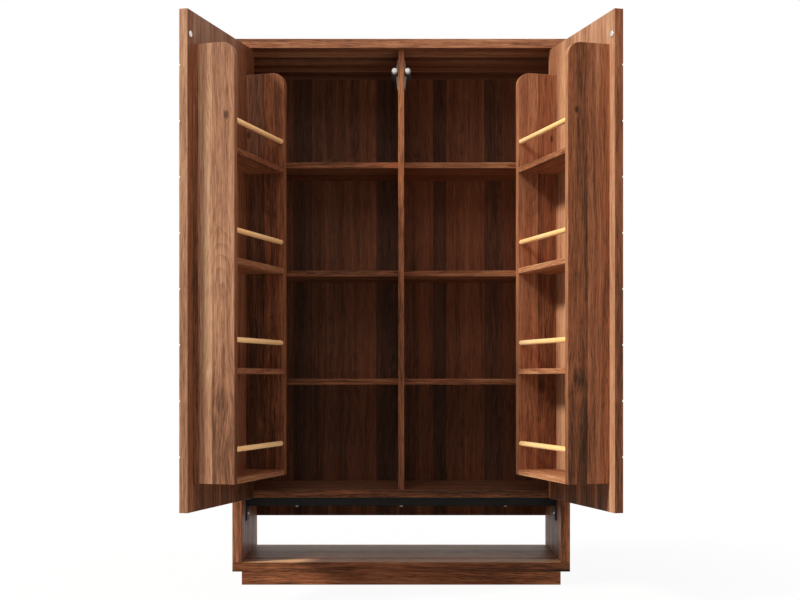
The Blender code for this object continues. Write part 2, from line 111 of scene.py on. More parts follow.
def speckle(tree, scale, detail):
    """Noise with no direction, in the piece's own coordinates."""
    where = place_node(tree, "TexCoord", {}).outputs["Object"]
    return place_node(tree, "TexNoise", {"Vector": where, "Scale": scale, "Detail": detail}).outputs["Fac"]


def colour_run(tree, value, stops):
    """A colour ramp with evenly spaced stops."""
    run = place_node(tree, "ValToRGB", {"Fac": value})
    marks = run.color_ramp.elements
    for index in range(len(stops) - 2):
        marks.new((index + 1) / (len(stops) - 1))
    for mark, colour in zip(marks, stops):
        mark.color = (*colour, 1.0)
    return run.outputs["Color"]


HEARTWOOD = [
    (0.028, 0.0138, 0.0090),
    (0.122, 0.0465, 0.0225),
    (0.362, 0.1160, 0.0520),
    (0.520, 0.2230, 0.1030),
    (0.695, 0.4000, 0.2150),
]
SAPWOOD = [
    (0.074, 0.035, 0.022),
    (0.205, 0.094, 0.056),
    (0.400, 0.197, 0.118),
    (0.580, 0.338, 0.212),
    (0.750, 0.530, 0.360),
]
SWAY = 0.050
WOBBLE = 0.005
KNOT_WIDTH = 0.0050
KNOT_LENGTH = 0.0095
KNOT_RAGGED = 1.6
KNOT_DARK = -0.36
PITH_NEAR = 0.004
PITH_FAR = 0.110
RINGS_PER_METRE = 190.0
RING_WOBBLE = 2.0
RING_SHARPNESS = 2.6
FIGURE_LIFT = 0.078

tree, wood, shown = open_group(
    "walnut_figure",
    {"Grain": "Vector", "Knot": "Vector", "Tone": "Float", "Warmth": "Float", "Strength": "Float"},
    {"Color": "Color", "Relief": "Float"},
)
split = place_node(tree, "SeparateXYZ", {0: wood["Grain"]}).outputs
sway = even_streaks(tree, wood["Grain"], 5.0, 1.3, 2.0)
wobble = even_streaks(tree, wood["Grain"], 28.0, 8.0, 2.0)
bent = reckon(tree, "MULTIPLY_ADD", sway, SWAY, split["X"])
bent = reckon(tree, "MULTIPLY_ADD", wobble, WOBBLE, bent)
knot = place_node(tree, "SeparateXYZ", {0: wood["Knot"]}).outputs
knot_across = reckon(tree, "DIVIDE", knot["X"], reckon(tree, "MULTIPLY", knot["Z"], KNOT_WIDTH))
knot_along = reckon(tree, "DIVIDE", knot["Y"], reckon(tree, "MULTIPLY", knot["Z"], KNOT_LENGTH))
knot_square = reckon(tree, "MULTIPLY", knot_across, knot_across)
knot_square = reckon(tree, "MULTIPLY_ADD", knot_along, knot_along, knot_square)
knot_reach = reckon(tree, "SQRT", knot_square)
knot_reach = reckon(tree, "MULTIPLY_ADD", wobble, KNOT_RAGGED, knot_reach)
knotty = reckon(tree, "MINIMUM", knot["Z"], 1.0)
swirl = reckon(tree, "MULTIPLY", ease(tree, knot_reach, 0.3, 5.0, 0.60, 0.0), knotty)
bent = reckon(tree, "SUBTRACT", bent, reckon(tree, "MULTIPLY", knot["X"], swirl))
knot_core = reckon(tree, "MULTIPLY", ease(tree, knot_reach, 0.45, 1.6, 1.0, 0.0), knotty)
knot_core = reckon(tree, "DIVIDE", knot_core, reckon(tree, "MAXIMUM", knot["Z"], 1.0))
bent_feeds = {"X": bent, "Y": split["Y"], "Z": split["Z"]}
bent_grain = place_node(tree, "CombineXYZ", bent_feeds).outputs[0]
pith_way = streaks(tree, wood["Grain"], 0.0, 1.1, 1.0)
pith_depth = ease(tree, pith_way, 0.28, 0.75, PITH_NEAR, PITH_FAR)
ring_square = reckon(tree, "MULTIPLY", bent, bent)
ring_square = reckon(tree, "MULTIPLY_ADD", pith_depth, pith_depth, ring_square)
ring_count = reckon(tree, "MULTIPLY", reckon(tree, "SQRT", ring_square), RINGS_PER_METRE)
ring_count = reckon(tree, "MULTIPLY_ADD", wobble, RING_WOBBLE, ring_count)
late_wood = reckon(tree, "POWER", reckon(tree, "FRACT", ring_count), RING_SHARPNESS)
ring_patch = ease(tree, streaks(tree, wood["Grain"], 14.0, 2.6, 1.0), 0.42, 0.62)
late_wood = reckon(tree, "MULTIPLY", late_wood, ring_patch)
broad = even_streaks(tree, bent_grain, 18.0, 0.5, 3.0)
middling = even_streaks(tree, bent_grain, 90.0, 3.2, 4.0)
fine = even_streaks(tree, bent_grain, 380.0, 17.0, 5.0)
flecks = ease(tree, streaks(tree, bent_grain, 520.0, 36.0, 1.5), 0.55, 0.66)
mineral = ease(tree, streaks(tree, bent_grain, 46.0, 0.9, 2.0), 0.55, 0.70)
pores = ease(tree, streaks(tree, bent_grain, 700.0, 34.0, 1.0), 0.54, 0.66)
figured = FIGURE_LIFT
for marking, weight in (
    (broad, 0.70),
    (middling, 0.62),
    (fine, 0.85),
    (flecks, -0.15),
    (late_wood, -0.16),
    (mineral, -0.12),
    (pores, -0.10),
):
    figured = reckon(tree, "MULTIPLY_ADD", marking, weight, figured)
lightness = reckon(tree, "MULTIPLY_ADD", figured, wood["Strength"], wood["Tone"])
lightness = reckon(tree, "MULTIPLY_ADD", knot_core, KNOT_DARK, lightness)
heart_colour = colour_run(tree, lightness, HEARTWOOD)
sap_colour = colour_run(tree, lightness, SAPWOOD)
tree.links.new(blend_colours(tree, wood["Warmth"], heart_colour, sap_colour), shown["Color"])
relief = reckon(tree, "MULTIPLY_ADD", fine, 0.6, reckon(tree, "MULTIPLY", pores, -1.0))
relief = reckon(tree, "MULTIPLY_ADD", late_wood, -0.2, relief)
tree.links.new(relief, shown["Relief"])

# A mask over the rounded edges, in patches: partly rubbed wear, partly a painted highlight where the edges
# catch light.
tree, wear_and_highlight_in, wear_and_highlight_out = open_group("worn_and_highlit_edges", {"Edge": "Float", "Patches": "Float"}, {"WearAndHighlight": "Float"})
patch = ease(tree, speckle(tree, wear_and_highlight_in["Patches"], 3.0), 0.38, 0.64)
tree.links.new(reckon(tree, "MULTIPLY", wear_and_highlight_in["Edge"], patch), wear_and_highlight_out["WearAndHighlight"])


def start_finish(name, metallic=0.0, specular=0.5):
    """A new material with its Principled shader's even values set."""
    finish = bpy.data.materials.new(name)
    finish.use_nodes = True
    tree = finish.node_tree
    shader = tree.nodes["Principled BSDF"]
    shader.inputs["Metallic"].default_value = metallic
    shader.inputs["Specular IOR Level"].default_value = specular
    return finish, tree, shader


def raise_bump(tree, shader, height, strength, distance):
    bump = place_node(tree, "Bump", {"Height": height, "Strength": strength, "Distance": distance})
    tree.links.new(bump.outputs[0], shader.inputs["Normal"])


# Paler wood on the rounded edges: partly rubbed wear, partly a painted highlight.
RUBBED_AND_HIGHLIT_WOOD = (0.40, 0.21, 0.105, 1.0)
RUB_AND_HIGHLIGHT_SHARE = 0.45
WEAR_AND_HIGHLIGHT_PATCHES = 90.0

walnut, tree, shader = start_finish("lacquered_walnut", specular=0.07)
grain = place_node(tree, "Attribute", {}, attribute_name="grain").outputs["Vector"]
knot = place_node(tree, "Attribute", {}, attribute_name="knot").outputs["Vector"]
leaf_sheet = place_node(tree, "Attribute", {}, attribute_name="leaf").outputs
tone, warmth, edge_share = place_node(tree, "SeparateColor", {0: leaf_sheet["Color"]}).outputs
figure_feeds = {"Grain": grain, "Knot": knot, "Tone": tone, "Warmth": warmth, "Strength": leaf_sheet["Alpha"]}
figure = fill_group(tree, "walnut_figure", figure_feeds)
wear_and_highlight = fill_group(tree, "worn_and_highlit_edges", {"Edge": edge_share, "Patches": WEAR_AND_HIGHLIGHT_PATCHES})["WearAndHighlight"]
rubbed_and_highlit = reckon(tree, "MULTIPLY", wear_and_highlight, RUB_AND_HIGHLIGHT_SHARE)
tree.links.new(blend_colours(tree, rubbed_and_highlit, figure["Color"], RUBBED_AND_HIGHLIT_WOOD), shader.inputs["Base Color"])
tree.links.new(ease(tree, figure["Relief"], -0.9, 0.3, 0.62, 0.40), shader.inputs["Roughness"])
raise_bump(tree, shader, figure["Relief"], strength=0.30, distance=0.0004)

EDGE_SOFTNESS = 0.0010
SHARP = math.radians(30)
TOUCHING = 1e-6
FACING = 0.9


def round_edges(shapes, edges, radius, segments, clamp=False):
    bmesh.ops.bevel(
        shapes,
        geom=edges,
        offset=radius,
        offset_type="OFFSET",
        affect="EDGES",
        segments=segments,
        profile=0.5,
        material=-1,
        clamp_overlap=clamp,
    )


def soften(shapes, softness):
    """Rounds every sharp edge."""
    sharp = [edge for edge in shapes.edges if edge.calc_face_angle(0.0) > SHARP]
    round_edges(shapes, sharp, softness, segments=3, clamp=True)


def add_block(shapes, low, high):
    """Adds a box between two opposite corners and returns its vertices."""
    low = Vector(low)
    high = Vector(high)
    place = Matrix.Translation((low + high) / 2) @ Matrix.Diagonal((*(high - low), 1.0))
    return bmesh.ops.create_cube(shapes, size=1.0, matrix=place)["verts"]


def soft_board(low, high, softness=EDGE_SOFTNESS):
    shapes = bmesh.new()
    add_block(shapes, low, high)
    soften(shapes, softness)
    return shapes


def slice_board(shapes, axis, places):
    """Cuts lines round a board at places along one axis."""
    for place in places:
        spot = Vector()
        spot[axis] = place
        way = Vector()
        way[axis] = 1.0
        whole = shapes.verts[:] + shapes.edges[:] + shapes.faces[:]
        bmesh.ops.bisect_plane(shapes, geom=whole, dist=TOUCHING, plane_co=spot, plane_no=way)


LEAF_WIDTH = 0.110
LEAF_WARMTH = 0.20
STRAIGHT_GRAIN = 0.190
# How much redder the veneer turns where a tone step darkens it, as part of the painted shade.
SHADE_REDDENING = 2.0
LEAF_LEAN = ((0.0, -0.50), (0.40, -0.40), (0.50, 0.15), (0.76, 0.45), (0.93, 0.85), (1.0, 0.60))
BOARD_DEPTH = 0.31
BOARD_START = 7.3
LEAF_DEPTH = 0.004
BAND_DEPTH = 0.17
BAND_START = 5.9
BAND_OFFSET = 1.9
ROUNDING = (0.05, 0.95)


def run_of(points, place):
    """The value at a place on a run of (place, value) points."""
    for (start, low), (end, high) in zip(points, points[1:]):
        if place <= end:
            return low + (high - low) * max(0.0, place - start) / (end - start)
    return points[-1][1]


def deal_leaves(width, tone, seed, spread=0.05, lean=0.10):
    """Leaves across a board.

    Each is (share of the width, tone, warmth, distance from the log's heart, lean, share of the tone steps).
    """
    draw = random.Random(seed)
    count = max(1, round(width / LEAF_WIDTH))
    heart = draw.choice((0.0, STRAIGHT_GRAIN, -STRAIGHT_GRAIN))
    return [
        (1 / count, tone + draw.uniform(-spread, spread), draw.uniform(0.0, LEAF_WARMTH), heart, lean, 1.0)
        for _ in range(count)
    ]


def loop_layer(layers, name):
    return layers.get(name) or layers.new(name)


def lay_veneer(
    shapes, low, high, along, leaves, seed, band,
    hand=1, faces=None, thick=None, knots=(), fade=(), band_step_share=1.0, strength=1.0,
):
    """Writes the grain and leaf of each face. hand is -1 on a board that mirrors another across X.

    band is the tone and warmth of the edge band. knots are (place across, place along, size). The tone steps
    change the tone at places along the board, as far as each leaf and the bands take part. Most of them are
    painted shade and painted light, and where a step darkens the veneer it is made redder too, as painted
    shade. strength is how strongly the figure shows.
    """
    size = [abs(side) for side in high - low]
    thick = size.index(min(size)) if thick is None else thick
    across = 3 - along - thick
    turn = Vector((hand, 1, 1))
    edges = [min(low[across] * turn[across], high[across] * turn[across])]
    for share, *_ in leaves:
        edges.append(edges[-1] + share * size[across])
    if faces is None:
        cuts = []
        for start, end in zip(edges, edges[1:]):
            cuts += [start + (end - start) * share for share, _ in LEAF_LEAN[1:]]
        slice_board(shapes, across, [cut * turn[across] for cut in cuts[:-1]])
        slice_board(shapes, along, [place for place, _ in fade])
        slice_board(shapes, along, [(one[1] + two[1]) / 2 for one, two in zip(knots, knots[1:])])
    grain_layer = loop_layer(shapes.loops.layers.float_vector, "grain")
    leaf_layer = loop_layer(shapes.loops.layers.float_color, "leaf")
    knot_layer = shapes.loops.layers.float_vector.new("knot") if knots else None
    middle = (low + high) / 2 * turn
    shapes.normal_update()
    for face in shapes.faces if faces is None else faces:
        tilt = [abs(side) for side in face.normal]
        spot = face.calc_center_median() * turn
        row = next((index for index, end in enumerate(edges[1:-1]) if spot[across] < end), len(leaves) - 1)
        share, tone, warmth, heart, lean, step_share = leaves[row]
        rounded = 1.0 if ROUNDING[0] < tilt[thick] < ROUNDING[1] else 0.0
        knot = min(knots, key=lambda found: abs(found[1] - spot[along])) if knots else None
        for loop in face.loops:
            spot = loop.vert.co * turn
            # Tone steps along the board: mostly painted shade and painted light.
            shift = run_of(fade, spot[along]) if fade else 0.0
            if tilt[thick] > FACING:
                reach = spot[across] - edges[row]
                shift *= step_share
                sappy = warmth * (1.0 + SHADE_REDDENING * min(shift, 0.0))
                shift += lean * run_of(LEAF_LEAN, reach / (share * size[across]))
                loop[grain_layer] = (
                    reach + heart,
                    spot[thick] - middle[thick] + BOARD_DEPTH * seed + LEAF_DEPTH * row,
                    spot[along] + BOARD_START * seed,
                )
                loop[leaf_layer] = (tone + shift, sappy, 0.0, strength)
                if knot:
                    loop[knot_layer] = (spot[across] - knot[0], spot[along] - knot[1], knot[2])
            else:
                run = along if tilt[along] <= tilt[across] else across
                loop[grain_layer] = (
                    spot[thick] - middle[thick] + STRAIGHT_GRAIN,
                    BAND_DEPTH * seed,
                    spot[run] + BAND_START * seed + BAND_OFFSET,
                )
                loop[leaf_layer] = (band[0] + shift * band_step_share, band[1], rounded, strength)


def set_up(name, data):
    """Makes an object and puts it in the scene."""
    thing = bpy.data.objects.new(name, data)
    bpy.context.scene.collection.objects.link(thing)
    return thing


def fit_piece(name, shapes, finish, body, nodes, place=None):
    """Makes the piece's object, puts it on its body and in place of its CAD nodes."""
    if place:
        bmesh.ops.transform(shapes, matrix=place, verts=shapes.verts)
    mesh = bpy.data.meshes.new(name)
    shapes.to_mesh(mesh)
    shapes.free()
    mesh.materials.append(finish)
    piece = set_up(name, mesh)
    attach(piece, body)
    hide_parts(*nodes)
    return piece


def veneer_board(name, node, low, high, along, leaves, seed, band, softness=EDGE_SOFTNESS, **veneer):
    """Makes one of the cabinet's fixed boards, with soft edges and veneer all over."""
    board = soft_board(low, high, softness)
    lay_veneer(board, low, high, along, leaves, seed, band, **veneer)
    fit_piece(name, board, walnut, "cabinet", [node])


X, Y, Z = 0, 1, 2
PLINTH_TONE = 0.39
# Painted light and shade along the plinth's front: darker where the key lamp's patch falls at the left end,
# lighter across the shaded rest.
PLINTH_PAINTED_LIGHT_AND_SHADE = (
    (-0.41, -0.04), (-0.29, -0.11), (-0.15, 0.03), (-0.06, 0.09), (0.0, 0.17), (0.06, 0.17),
    (0.18, 0.08), (0.25, 0.01), (0.40, 0.15),
)
PLINTH_GRAIN = {
    "plinth_front": X,
    "plinth_back": X,
    "plinth_left_end": Y,
    "plinth_right_end": Y,
    "plinth_brace": Y,
}

for seed, (node, along) in enumerate(PLINTH_GRAIN.items(), 1):
    low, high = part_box(node)
    leaves = [(1.0, PLINTH_TONE, 0.0, STRAIGHT_GRAIN, 0.0, 1.0)]
    fade = PLINTH_PAINTED_LIGHT_AND_SHADE if along == X else ()
    veneer_board(f"{node}_board", node, low, high, along, leaves, seed, (PLINTH_TONE, 0.0), fade=fade)

# Base and bottom panels: level boards of 25 and 20 mm. The base lies on the plinth and is the niche's floor,
# and the bottom panel closes the cupboard above the niche. Their grain runs from side to side.

SIDE_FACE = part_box("left_side_panel")[1].x
JOINT_LINE = 0.0002
# The base top's leaves are very pale as painted light in the niche; the steps between them are the grain's
# streaks.
BASE_LEAVES = (
    (0.17, 0.90, 0.0, STRAIGHT_GRAIN, 0.0, 0.0),
    (0.11, 0.52, 0.0, STRAIGHT_GRAIN, 0.0, 0.0),
    (0.06, 0.95, 0.0, STRAIGHT_GRAIN, 0.0, 0.0),
    (0.32, 0.78, 0.0, STRAIGHT_GRAIN, 0.0, 0.0),
    (0.34, 1.02, 0.3, STRAIGHT_GRAIN, 0.0, 0.0),
)
# Painted light and shade on the base's front edge: darker over the key lamp's patch at the left and towards
# the right end, lighter in the middle.
BASE_PAINTED_LIGHT_AND_SHADE = (
    (-0.41, -0.07), (-0.35, -0.05), (-0.29, -0.12), (-0.23, -0.11), (-0.12, 0.01), (-0.05, 0.08),
    (0.0, 0.08), (0.06, -0.02), (0.17, -0.11), (0.35, -0.07), (0.42, -0.15),
)
BASE_BAND = (0.37, 0.0)
BOTTOM_WARMTH = 0.40
BOTTOM_BAND = (0.16, 0.0)

low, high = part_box("base_panel")
veneer_board("base_board", "base_panel", low, high, X, BASE_LEAVES, 11, BASE_BAND, fade=BASE_PAINTED_LIGHT_AND_SHADE)

low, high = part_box("bottom_panel")
low.x = SIDE_FACE + JOINT_LINE
high.x = -low.x
dealt = deal_leaves(high.y - low.y, tone=0.34, seed=12)
leaves = [(share, tone, BOTTOM_WARMTH, *rest) for share, tone, _, *rest in dealt]
veneer_board("bottom_board", "bottom_panel", low, high, X, leaves, 12, BOTTOM_BAND)

# Sides, divider and back: upright boards with upright grain. The sides stand on the base and carry the top,
# the divider parts the cupboard in two bays, and the thin back is let in between the sides.

# The left side's band is paler and yellower as painted light and the right side's darker as painted shade.
SIDE_BANDS = {"left_side_panel": (0.51, 0.15), "right_side_panel": (0.36, 0.0)}
DIVIDER_BAND = (0.47, 0.05)
# Painted shade on the lower divider and painted light at its top, where the key lamp reaches over the left
# door.
DIVIDER_PAINTED_LIGHT_AND_SHADE = ((0.25, -0.14), (0.60, -0.12), (1.02, -0.06), (1.12, 0.05), (1.43, 0.10))
BACK_SOFTNESS = 0.0006
BACK_STRENGTH = 0.55
BACK_BAND = (0.40, 0.0)
BACK_HEART = -0.05
BACK_LEAN = 0.03
# The right bay's leaves are a little paler as painted light bounced from the lit right door; the other
# differences are the veneer's own.
BACK_LEAVES = (
    (0.107, 0.38, 0.15, 0.7),
    (0.056, 0.19, 0.45, 0.4),
    (0.071, 0.36, 0.25, 1.0),
    (0.071, 0.39, 0.15, 1.0),
    (0.047, 0.48, 0.10, 1.0),
    (0.073, 0.22, 0.45, 0.4),
    (0.053, 0.37, 0.25, 1.0),
    (0.041, 0.48, 0.10, 1.0),
    (0.039, 0.21, 0.40, 0.8),
    (0.070, 0.43, 0.10, 1.0),
    (0.042, 0.47, 0.10, 1.0),
    (0.053, 0.26, 0.40, 0.4),
    (0.127, 0.42, 0.15, 1.0),
)
# Painted shade: the back darker towards the bottom.
BACK_PAINTED_SHADE = ((0.25, -0.10), (0.50, -0.08), (0.60, -0.04), (0.85, -0.03), (0.95, 0.0), (1.40, 0.0))

for seed, (node, band) in enumerate(SIDE_BANDS.items(), 21):
    low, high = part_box(node)
    leaves = deal_leaves(high.y - low.y, tone=0.50, seed=seed, spread=0.08, lean=0.15)
    veneer_board(f"{node}_board", node, low, high, Z, leaves, seed, band)

low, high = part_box("center_divider")
leaves = deal_leaves(high.y - low.y, tone=0.47, seed=23)
veneer_board("divider_board", "center_divider", low, high, Z, leaves, 23, DIVIDER_BAND, fade=DIVIDER_PAINTED_LIGHT_AND_SHADE)

low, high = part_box("back_panel")
back_width = sum(width for width, *_ in BACK_LEAVES)
leaves = [
    (width / back_width, tone, warmth, BACK_HEART, BACK_LEAN, step_share)
    for width, tone, warmth, step_share in BACK_LEAVES
]
veneer_board(
    "back_board", "back_panel", low, high, Z, leaves, 24, BACK_BAND,
    softness=BACK_SOFTNESS, fade=BACK_PAINTED_SHADE, strength=BACK_STRENGTH,
)

# Shelves: three in each bay, 16 mm boards with a band on the front edge. Their ends are let into the
# sides and the divider, and they stop short of the front so that the door racks close ahead of them.

DIVIDER_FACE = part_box("center_divider")[1].x
# The left bay's shelf edges are darker as painted shade and the right bay's paler as painted light from the
# lit right door.
SHELF_BANDS = {"left": (0.38, 0.38, 0.43), "right": (0.51, 0.49, 0.49)}
SHELF_WARMTH = 0.05

for side, hand in (("left", -1), ("right", 1)):
    for row, band_tone in enumerate(SHELF_BANDS[side], 1):
        node = f"{side}_shelf_{row}"
        low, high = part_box(node)
        outer = hand * (-SIDE_FACE - JOINT_LINE)
        inner = hand * (DIVIDER_FACE + JOINT_LINE)
        low.x = min(outer, inner)
        high.x = max(outer, inner)
        seed = 30 + 10 * row + hand
        leaves = deal_leaves(high.y - low.y, tone=0.42, seed=seed)
        band = (band_tone, SHELF_WARMTH)
        veneer_board(f"{side}_shelf_board_{row}", node, low, high, X, leaves, seed, band)

# Top: a 25 mm board laid over the sides, the divider and the back, with its grain from side to side.
# A shallow recess in its underside takes each door's upper pivot plate.


def push_faces(shapes, faces, rise):
    """Moves faces up or down together, with walls round them."""
    moved = bmesh.ops.extrude_face_region(shapes, geom=faces)["geom"]
    corners = [part for part in moved if isinstance(part, bmesh.types.BMVert)]
    bmesh.ops.translate(shapes, verts=corners, vec=(0, 0, rise))


def sink_recess(shapes, low, high):
    """Sinks a flat-bottomed recess into a board's underside, between two corners and up to the higher."""
    slice_board(shapes, X, (low.x, high.x))
    slice_board(shapes, Y, (low.y, high.y))
    shapes.normal_update()
    floor = []
    for face in shapes.faces:
        spot = face.calc_center_median()
        if face.normal.z < -FACING and low.x < spot.x < high.x and low.y < spot.y < high.y:
            floor.append(face)
    push_faces(shapes, floor, high.z - low.z)


RECESS_FIT = Vector((0.0003, 0.0003, 0.0003))
TOP_LEAVES = [
    (0.27, 0.49, 0.40, STRAIGHT_GRAIN, 0.24, 0.0),
    (0.22, 0.36, 0.50, STRAIGHT_GRAIN, 0.18, 0.0),
    (0.24, 0.50, 0.30, 0.02, 0.24, 0.0),
    (0.27, 0.41, 0.50, 0.02, 0.18, 0.0),
]
TOP_FADE = ((-0.45, -0.02), (0.20, 0.0), (0.45, 0.04))

low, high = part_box("top_panel")
board = soft_board(low, high)
for side in ("left", "right"):
    plate_low, plate_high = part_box(f"{side}_top_pivot")
    plate_low.z = low.z
    sink_recess(board, plate_low - RECESS_FIT * Vector((1, 1, 0)), plate_high + RECESS_FIT)
lay_veneer(board, low, high, X, TOP_LEAVES, seed=61, band=(0.41, 0.30), fade=TOP_FADE)
fit_piece("top_board", board, walnut, "cabinet", ["top_panel"])

# Support bar: a channel folded from 2 mm steel with a plate welded on each end, painted matt black.
# It stiffens the bottom panel from below and is screwed up into it and out into the sides.

GRIT_DEPTH = 0.0002

tree, rub, marked = open_group(
    "fine_marks", {"Coarse": "Float", "Fine": "Float"}, {"Mottle": "Float", "Grit": "Float"}
)
tree.links.new(ease(tree, speckle(tree, rub["Coarse"], 4.0), 0.30, 0.70), marked["Mottle"])
tree.links.new(speckle(tree, rub["Fine"], 2.0), marked["Grit"])


def plain_finish(name, dark, light, rough, coarse, fine, bump, metallic=0.0, specular=0.5):
    """A finish whose colour and gloss vary a little over the piece, with a fine grit."""
    finish, tree, shader = start_finish(name, metallic, specular)
    marks = fill_group(tree, "fine_marks", {"Coarse": coarse, "Fine": fine})
    mottled = blend_colours(tree, marks["Mottle"], (*dark, 1.0), (*light, 1.0))
    tree.links.new(mottled, shader.inputs["Base Color"])
    tree.links.new(ease(tree, marks["Mottle"], 0.0, 1.0, *rough), shader.inputs["Roughness"])
    raise_bump(tree, shader, marks["Grit"], bump, GRIT_DEPTH)
    return finish


black_paint = plain_finish(
    "matt_black_paint",
    dark=(0.0060, 0.0050, 0.0042),
    light=(0.0110, 0.0095, 0.0080),
    rough=(0.48, 0.62),
    coarse=60.0,
    fine=2200.0,
    bump=0.25,
    specular=0.18,
)

BEND = 0.0030
CHANNEL_WALL = 0.0020
CHANNEL_LIFT = 0.0047
CHANNEL_SOFTNESS = 0.0005
END_PLATE = 0.0030
PLATE_CORNER = 0.0060
PLATE_SOFTNESS = 0.0004
STRAIGHT = 0.99


def lies_along(edge, axis):
    way = edge.verts[0].co - edge.verts[1].co
    return abs(way.normalized()[axis]) > STRAIGHT


def round_corners(shapes, verts, axis, radius):
    """Rounds the edges of a block that run along one axis."""
    chosen = [edge for edge in shapes.edges if edge.verts[0] in verts and lies_along(edge, axis)]
    round_edges(shapes, chosen, radius, segments=6)


low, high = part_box("support_bar")
shapes = bmesh.new()
channel_low = Vector((low.x + END_PLATE, low.y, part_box("bar_screw_center")[0].z + CHANNEL_LIFT))
add_block(shapes, channel_low, (high.x - END_PLATE, high.y, high.z))
lid = [face for face in shapes.faces if face.normal.z > FACING]
bmesh.ops.delete(shapes, geom=lid, context="FACES_ONLY")
folds = [edge for edge in shapes.edges if edge.calc_face_angle(0.0) > SHARP and lies_along(edge, X)]
round_edges(shapes, folds, BEND, segments=5)
bmesh.ops.recalc_face_normals(shapes, faces=shapes.faces)
bmesh.ops.solidify(shapes, geom=shapes.faces[:], thickness=CHANNEL_WALL)
soften(shapes, CHANNEL_SOFTNESS)
for foot, head in ((low.x, low.x + END_PLATE), (high.x - END_PLATE, high.x)):
    plate = add_block(shapes, (foot, low.y, low.z), (head, high.y, high.z))
    round_corners(shapes, plate, X, PLATE_CORNER)
soften(shapes, PLATE_SOFTNESS)
fit_piece("steel_channel", shapes, black_paint, "cabinet", ["support_bar"])

# Screws of the bar: zinc-plated steel with a low domed head and a cross recess. Three go up through the
# channel into the bottom panel, and one goes through each end plate into the side.

bright_zinc = plain_finish(
    "bright_zinc",
    dark=(0.72, 0.71, 0.69),
    light=(0.84, 0.83, 0.81),
    rough=(0.28, 0.42),
    coarse=300.0,
    fine=3000.0,
    bump=0.15,
    metallic=1.0,
)

HEAD_RADIUS = 0.0050
HEAD_HEIGHT = 0.0045
HEAD_SIDES = 24
SHANK_RADIUS = 0.0022
CROSS_HALF_ANGLE = 16
FLAT = 0.98


def stand(spot, turn, axis):
    """A place at a spot, turned about an axis."""
    return Matrix.Translation(spot) @ Matrix.Rotation(turn, 4, axis)


def spin_profile(shapes, profile, segments):
    """Turns a profile of (radius, height) points about Z, with its ends on the axis where they reach it."""
    line = [shapes.verts.new((radius, 0.0, height)) for radius, height in profile]
    edges = [shapes.edges.new(pair) for pair in zip(line, line[1:])]
    bmesh.ops.spin(
        shapes,
        geom=line + edges,
        cent=(0, 0, 0),
        axis=(0, 0, 1),
        dvec=(0, 0, 0),
        angle=2 * math.pi,
        steps=segments,
        use_merge=True,
    )
    bmesh.ops.remove_doubles(shapes, verts=shapes.verts, dist=TOUCHING)
    bmesh.ops.recalc_face_normals(shapes, faces=shapes.faces)
    for face in shapes.faces:
        face.smooth = abs(face.normal.z) < FLAT


def cut_cross(shapes, top, reach, depth):
    """Sinks a cross recess into the faces at the top of a turned head."""
    arms = []
    for face in shapes.faces:
        spot = face.calc_center_median()
        turn = math.degrees(math.atan2(spot.y, spot.x)) % 90
        if spot.z > top and spot.xy.length < reach and min(turn, 90 - turn) < CROSS_HALF_ANGLE:
            arms.append(face)
    push_faces(shapes, arms, -depth)


def screw_head(shank):
    """A pan head with its seat at height 0, its crown up and its shank down."""
    shapes = bmesh.new()
    profile = [
        (0.0, HEAD_HEIGHT),
        (HEAD_RADIUS * 0.30, HEAD_HEIGHT * 0.985),
        (HEAD_RADIUS * 0.60, HEAD_HEIGHT * 0.92),
        (HEAD_RADIUS * 0.85, HEAD_HEIGHT * 0.72),
        (HEAD_RADIUS * 0.98, HEAD_HEIGHT * 0.40),
        (HEAD_RADIUS, HEAD_HEIGHT * 0.15),
        (HEAD_RADIUS * 0.97, 0.0),
        (SHANK_RADIUS, 0.0),
        (SHANK_RADIUS, -shank + SHANK_RADIUS),
        (0.0, -shank),
    ]
    spin_profile(shapes, profile, HEAD_SIDES)
    cut_cross(shapes, HEAD_HEIGHT * 0.85, HEAD_RADIUS * 0.62, HEAD_HEIGHT * 0.45)
    return shapes


for name in ("left", "center", "right"):
    node = f"bar_screw_{name}"
    low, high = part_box(node)
    seat = stand(((low.x + high.x) / 2, (low.y + high.y) / 2, low.z + HEAD_HEIGHT), math.pi, "X")
    head = screw_head(high.z - low.z - HEAD_HEIGHT)
    fit_piece(f"bar_screw_head_{name}", head, bright_zinc, "cabinet", [node], seat)

for side, hand in (("left", -1), ("right", 1)):
    node = f"{side}_bar_end_screw"
    low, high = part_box(node)
    crown = high.x if hand < 0 else low.x
    spot = (crown + hand * HEAD_HEIGHT, (low.y + high.y) / 2, (low.z + high.z) / 2)
    seat = stand(spot, -hand * math.pi / 2, "Y")
    head = screw_head(high.x - low.x - HEAD_HEIGHT)
    fit_piece(f"{side}_bar_end_screw_head", head, bright_zinc, "cabinet", [node], seat)

# Pivots: a plate with a pin on each door's axis, the upper one let into the top and the lower one screwed
# under the bottom panel. The pins are pressed and riveted into the plates.

PIN_RADIUS = 0.0040
PIN_CHAMFER = 0.001
PIN_SIDES = 32
RIVET_SPREAD = 0.001
RIVET_START = 0.0005
RIVET_SINK = 0.0002
PLATE_THICKNESS = 0.0030
PIVOT_CORNER = 0.005
PIVOT_SETBACK = 0.0060
PIVOT_SCREWS = (0.030, 0.056)
PIVOT_LEVELS = (("top", bright_zinc, "bright_steel", -1), ("bottom", black_paint, "black_steel", 1))
COUNTERSUNK = [
    (0.0, 0.0002),
    (0.0012, 0.0002),
    (0.0024, 0.0001),
    (0.0034, 0.0),
    (0.0034, -0.0004),
    (0.0, -0.0016),
]
COUNTERSUNK_SIDES = 20


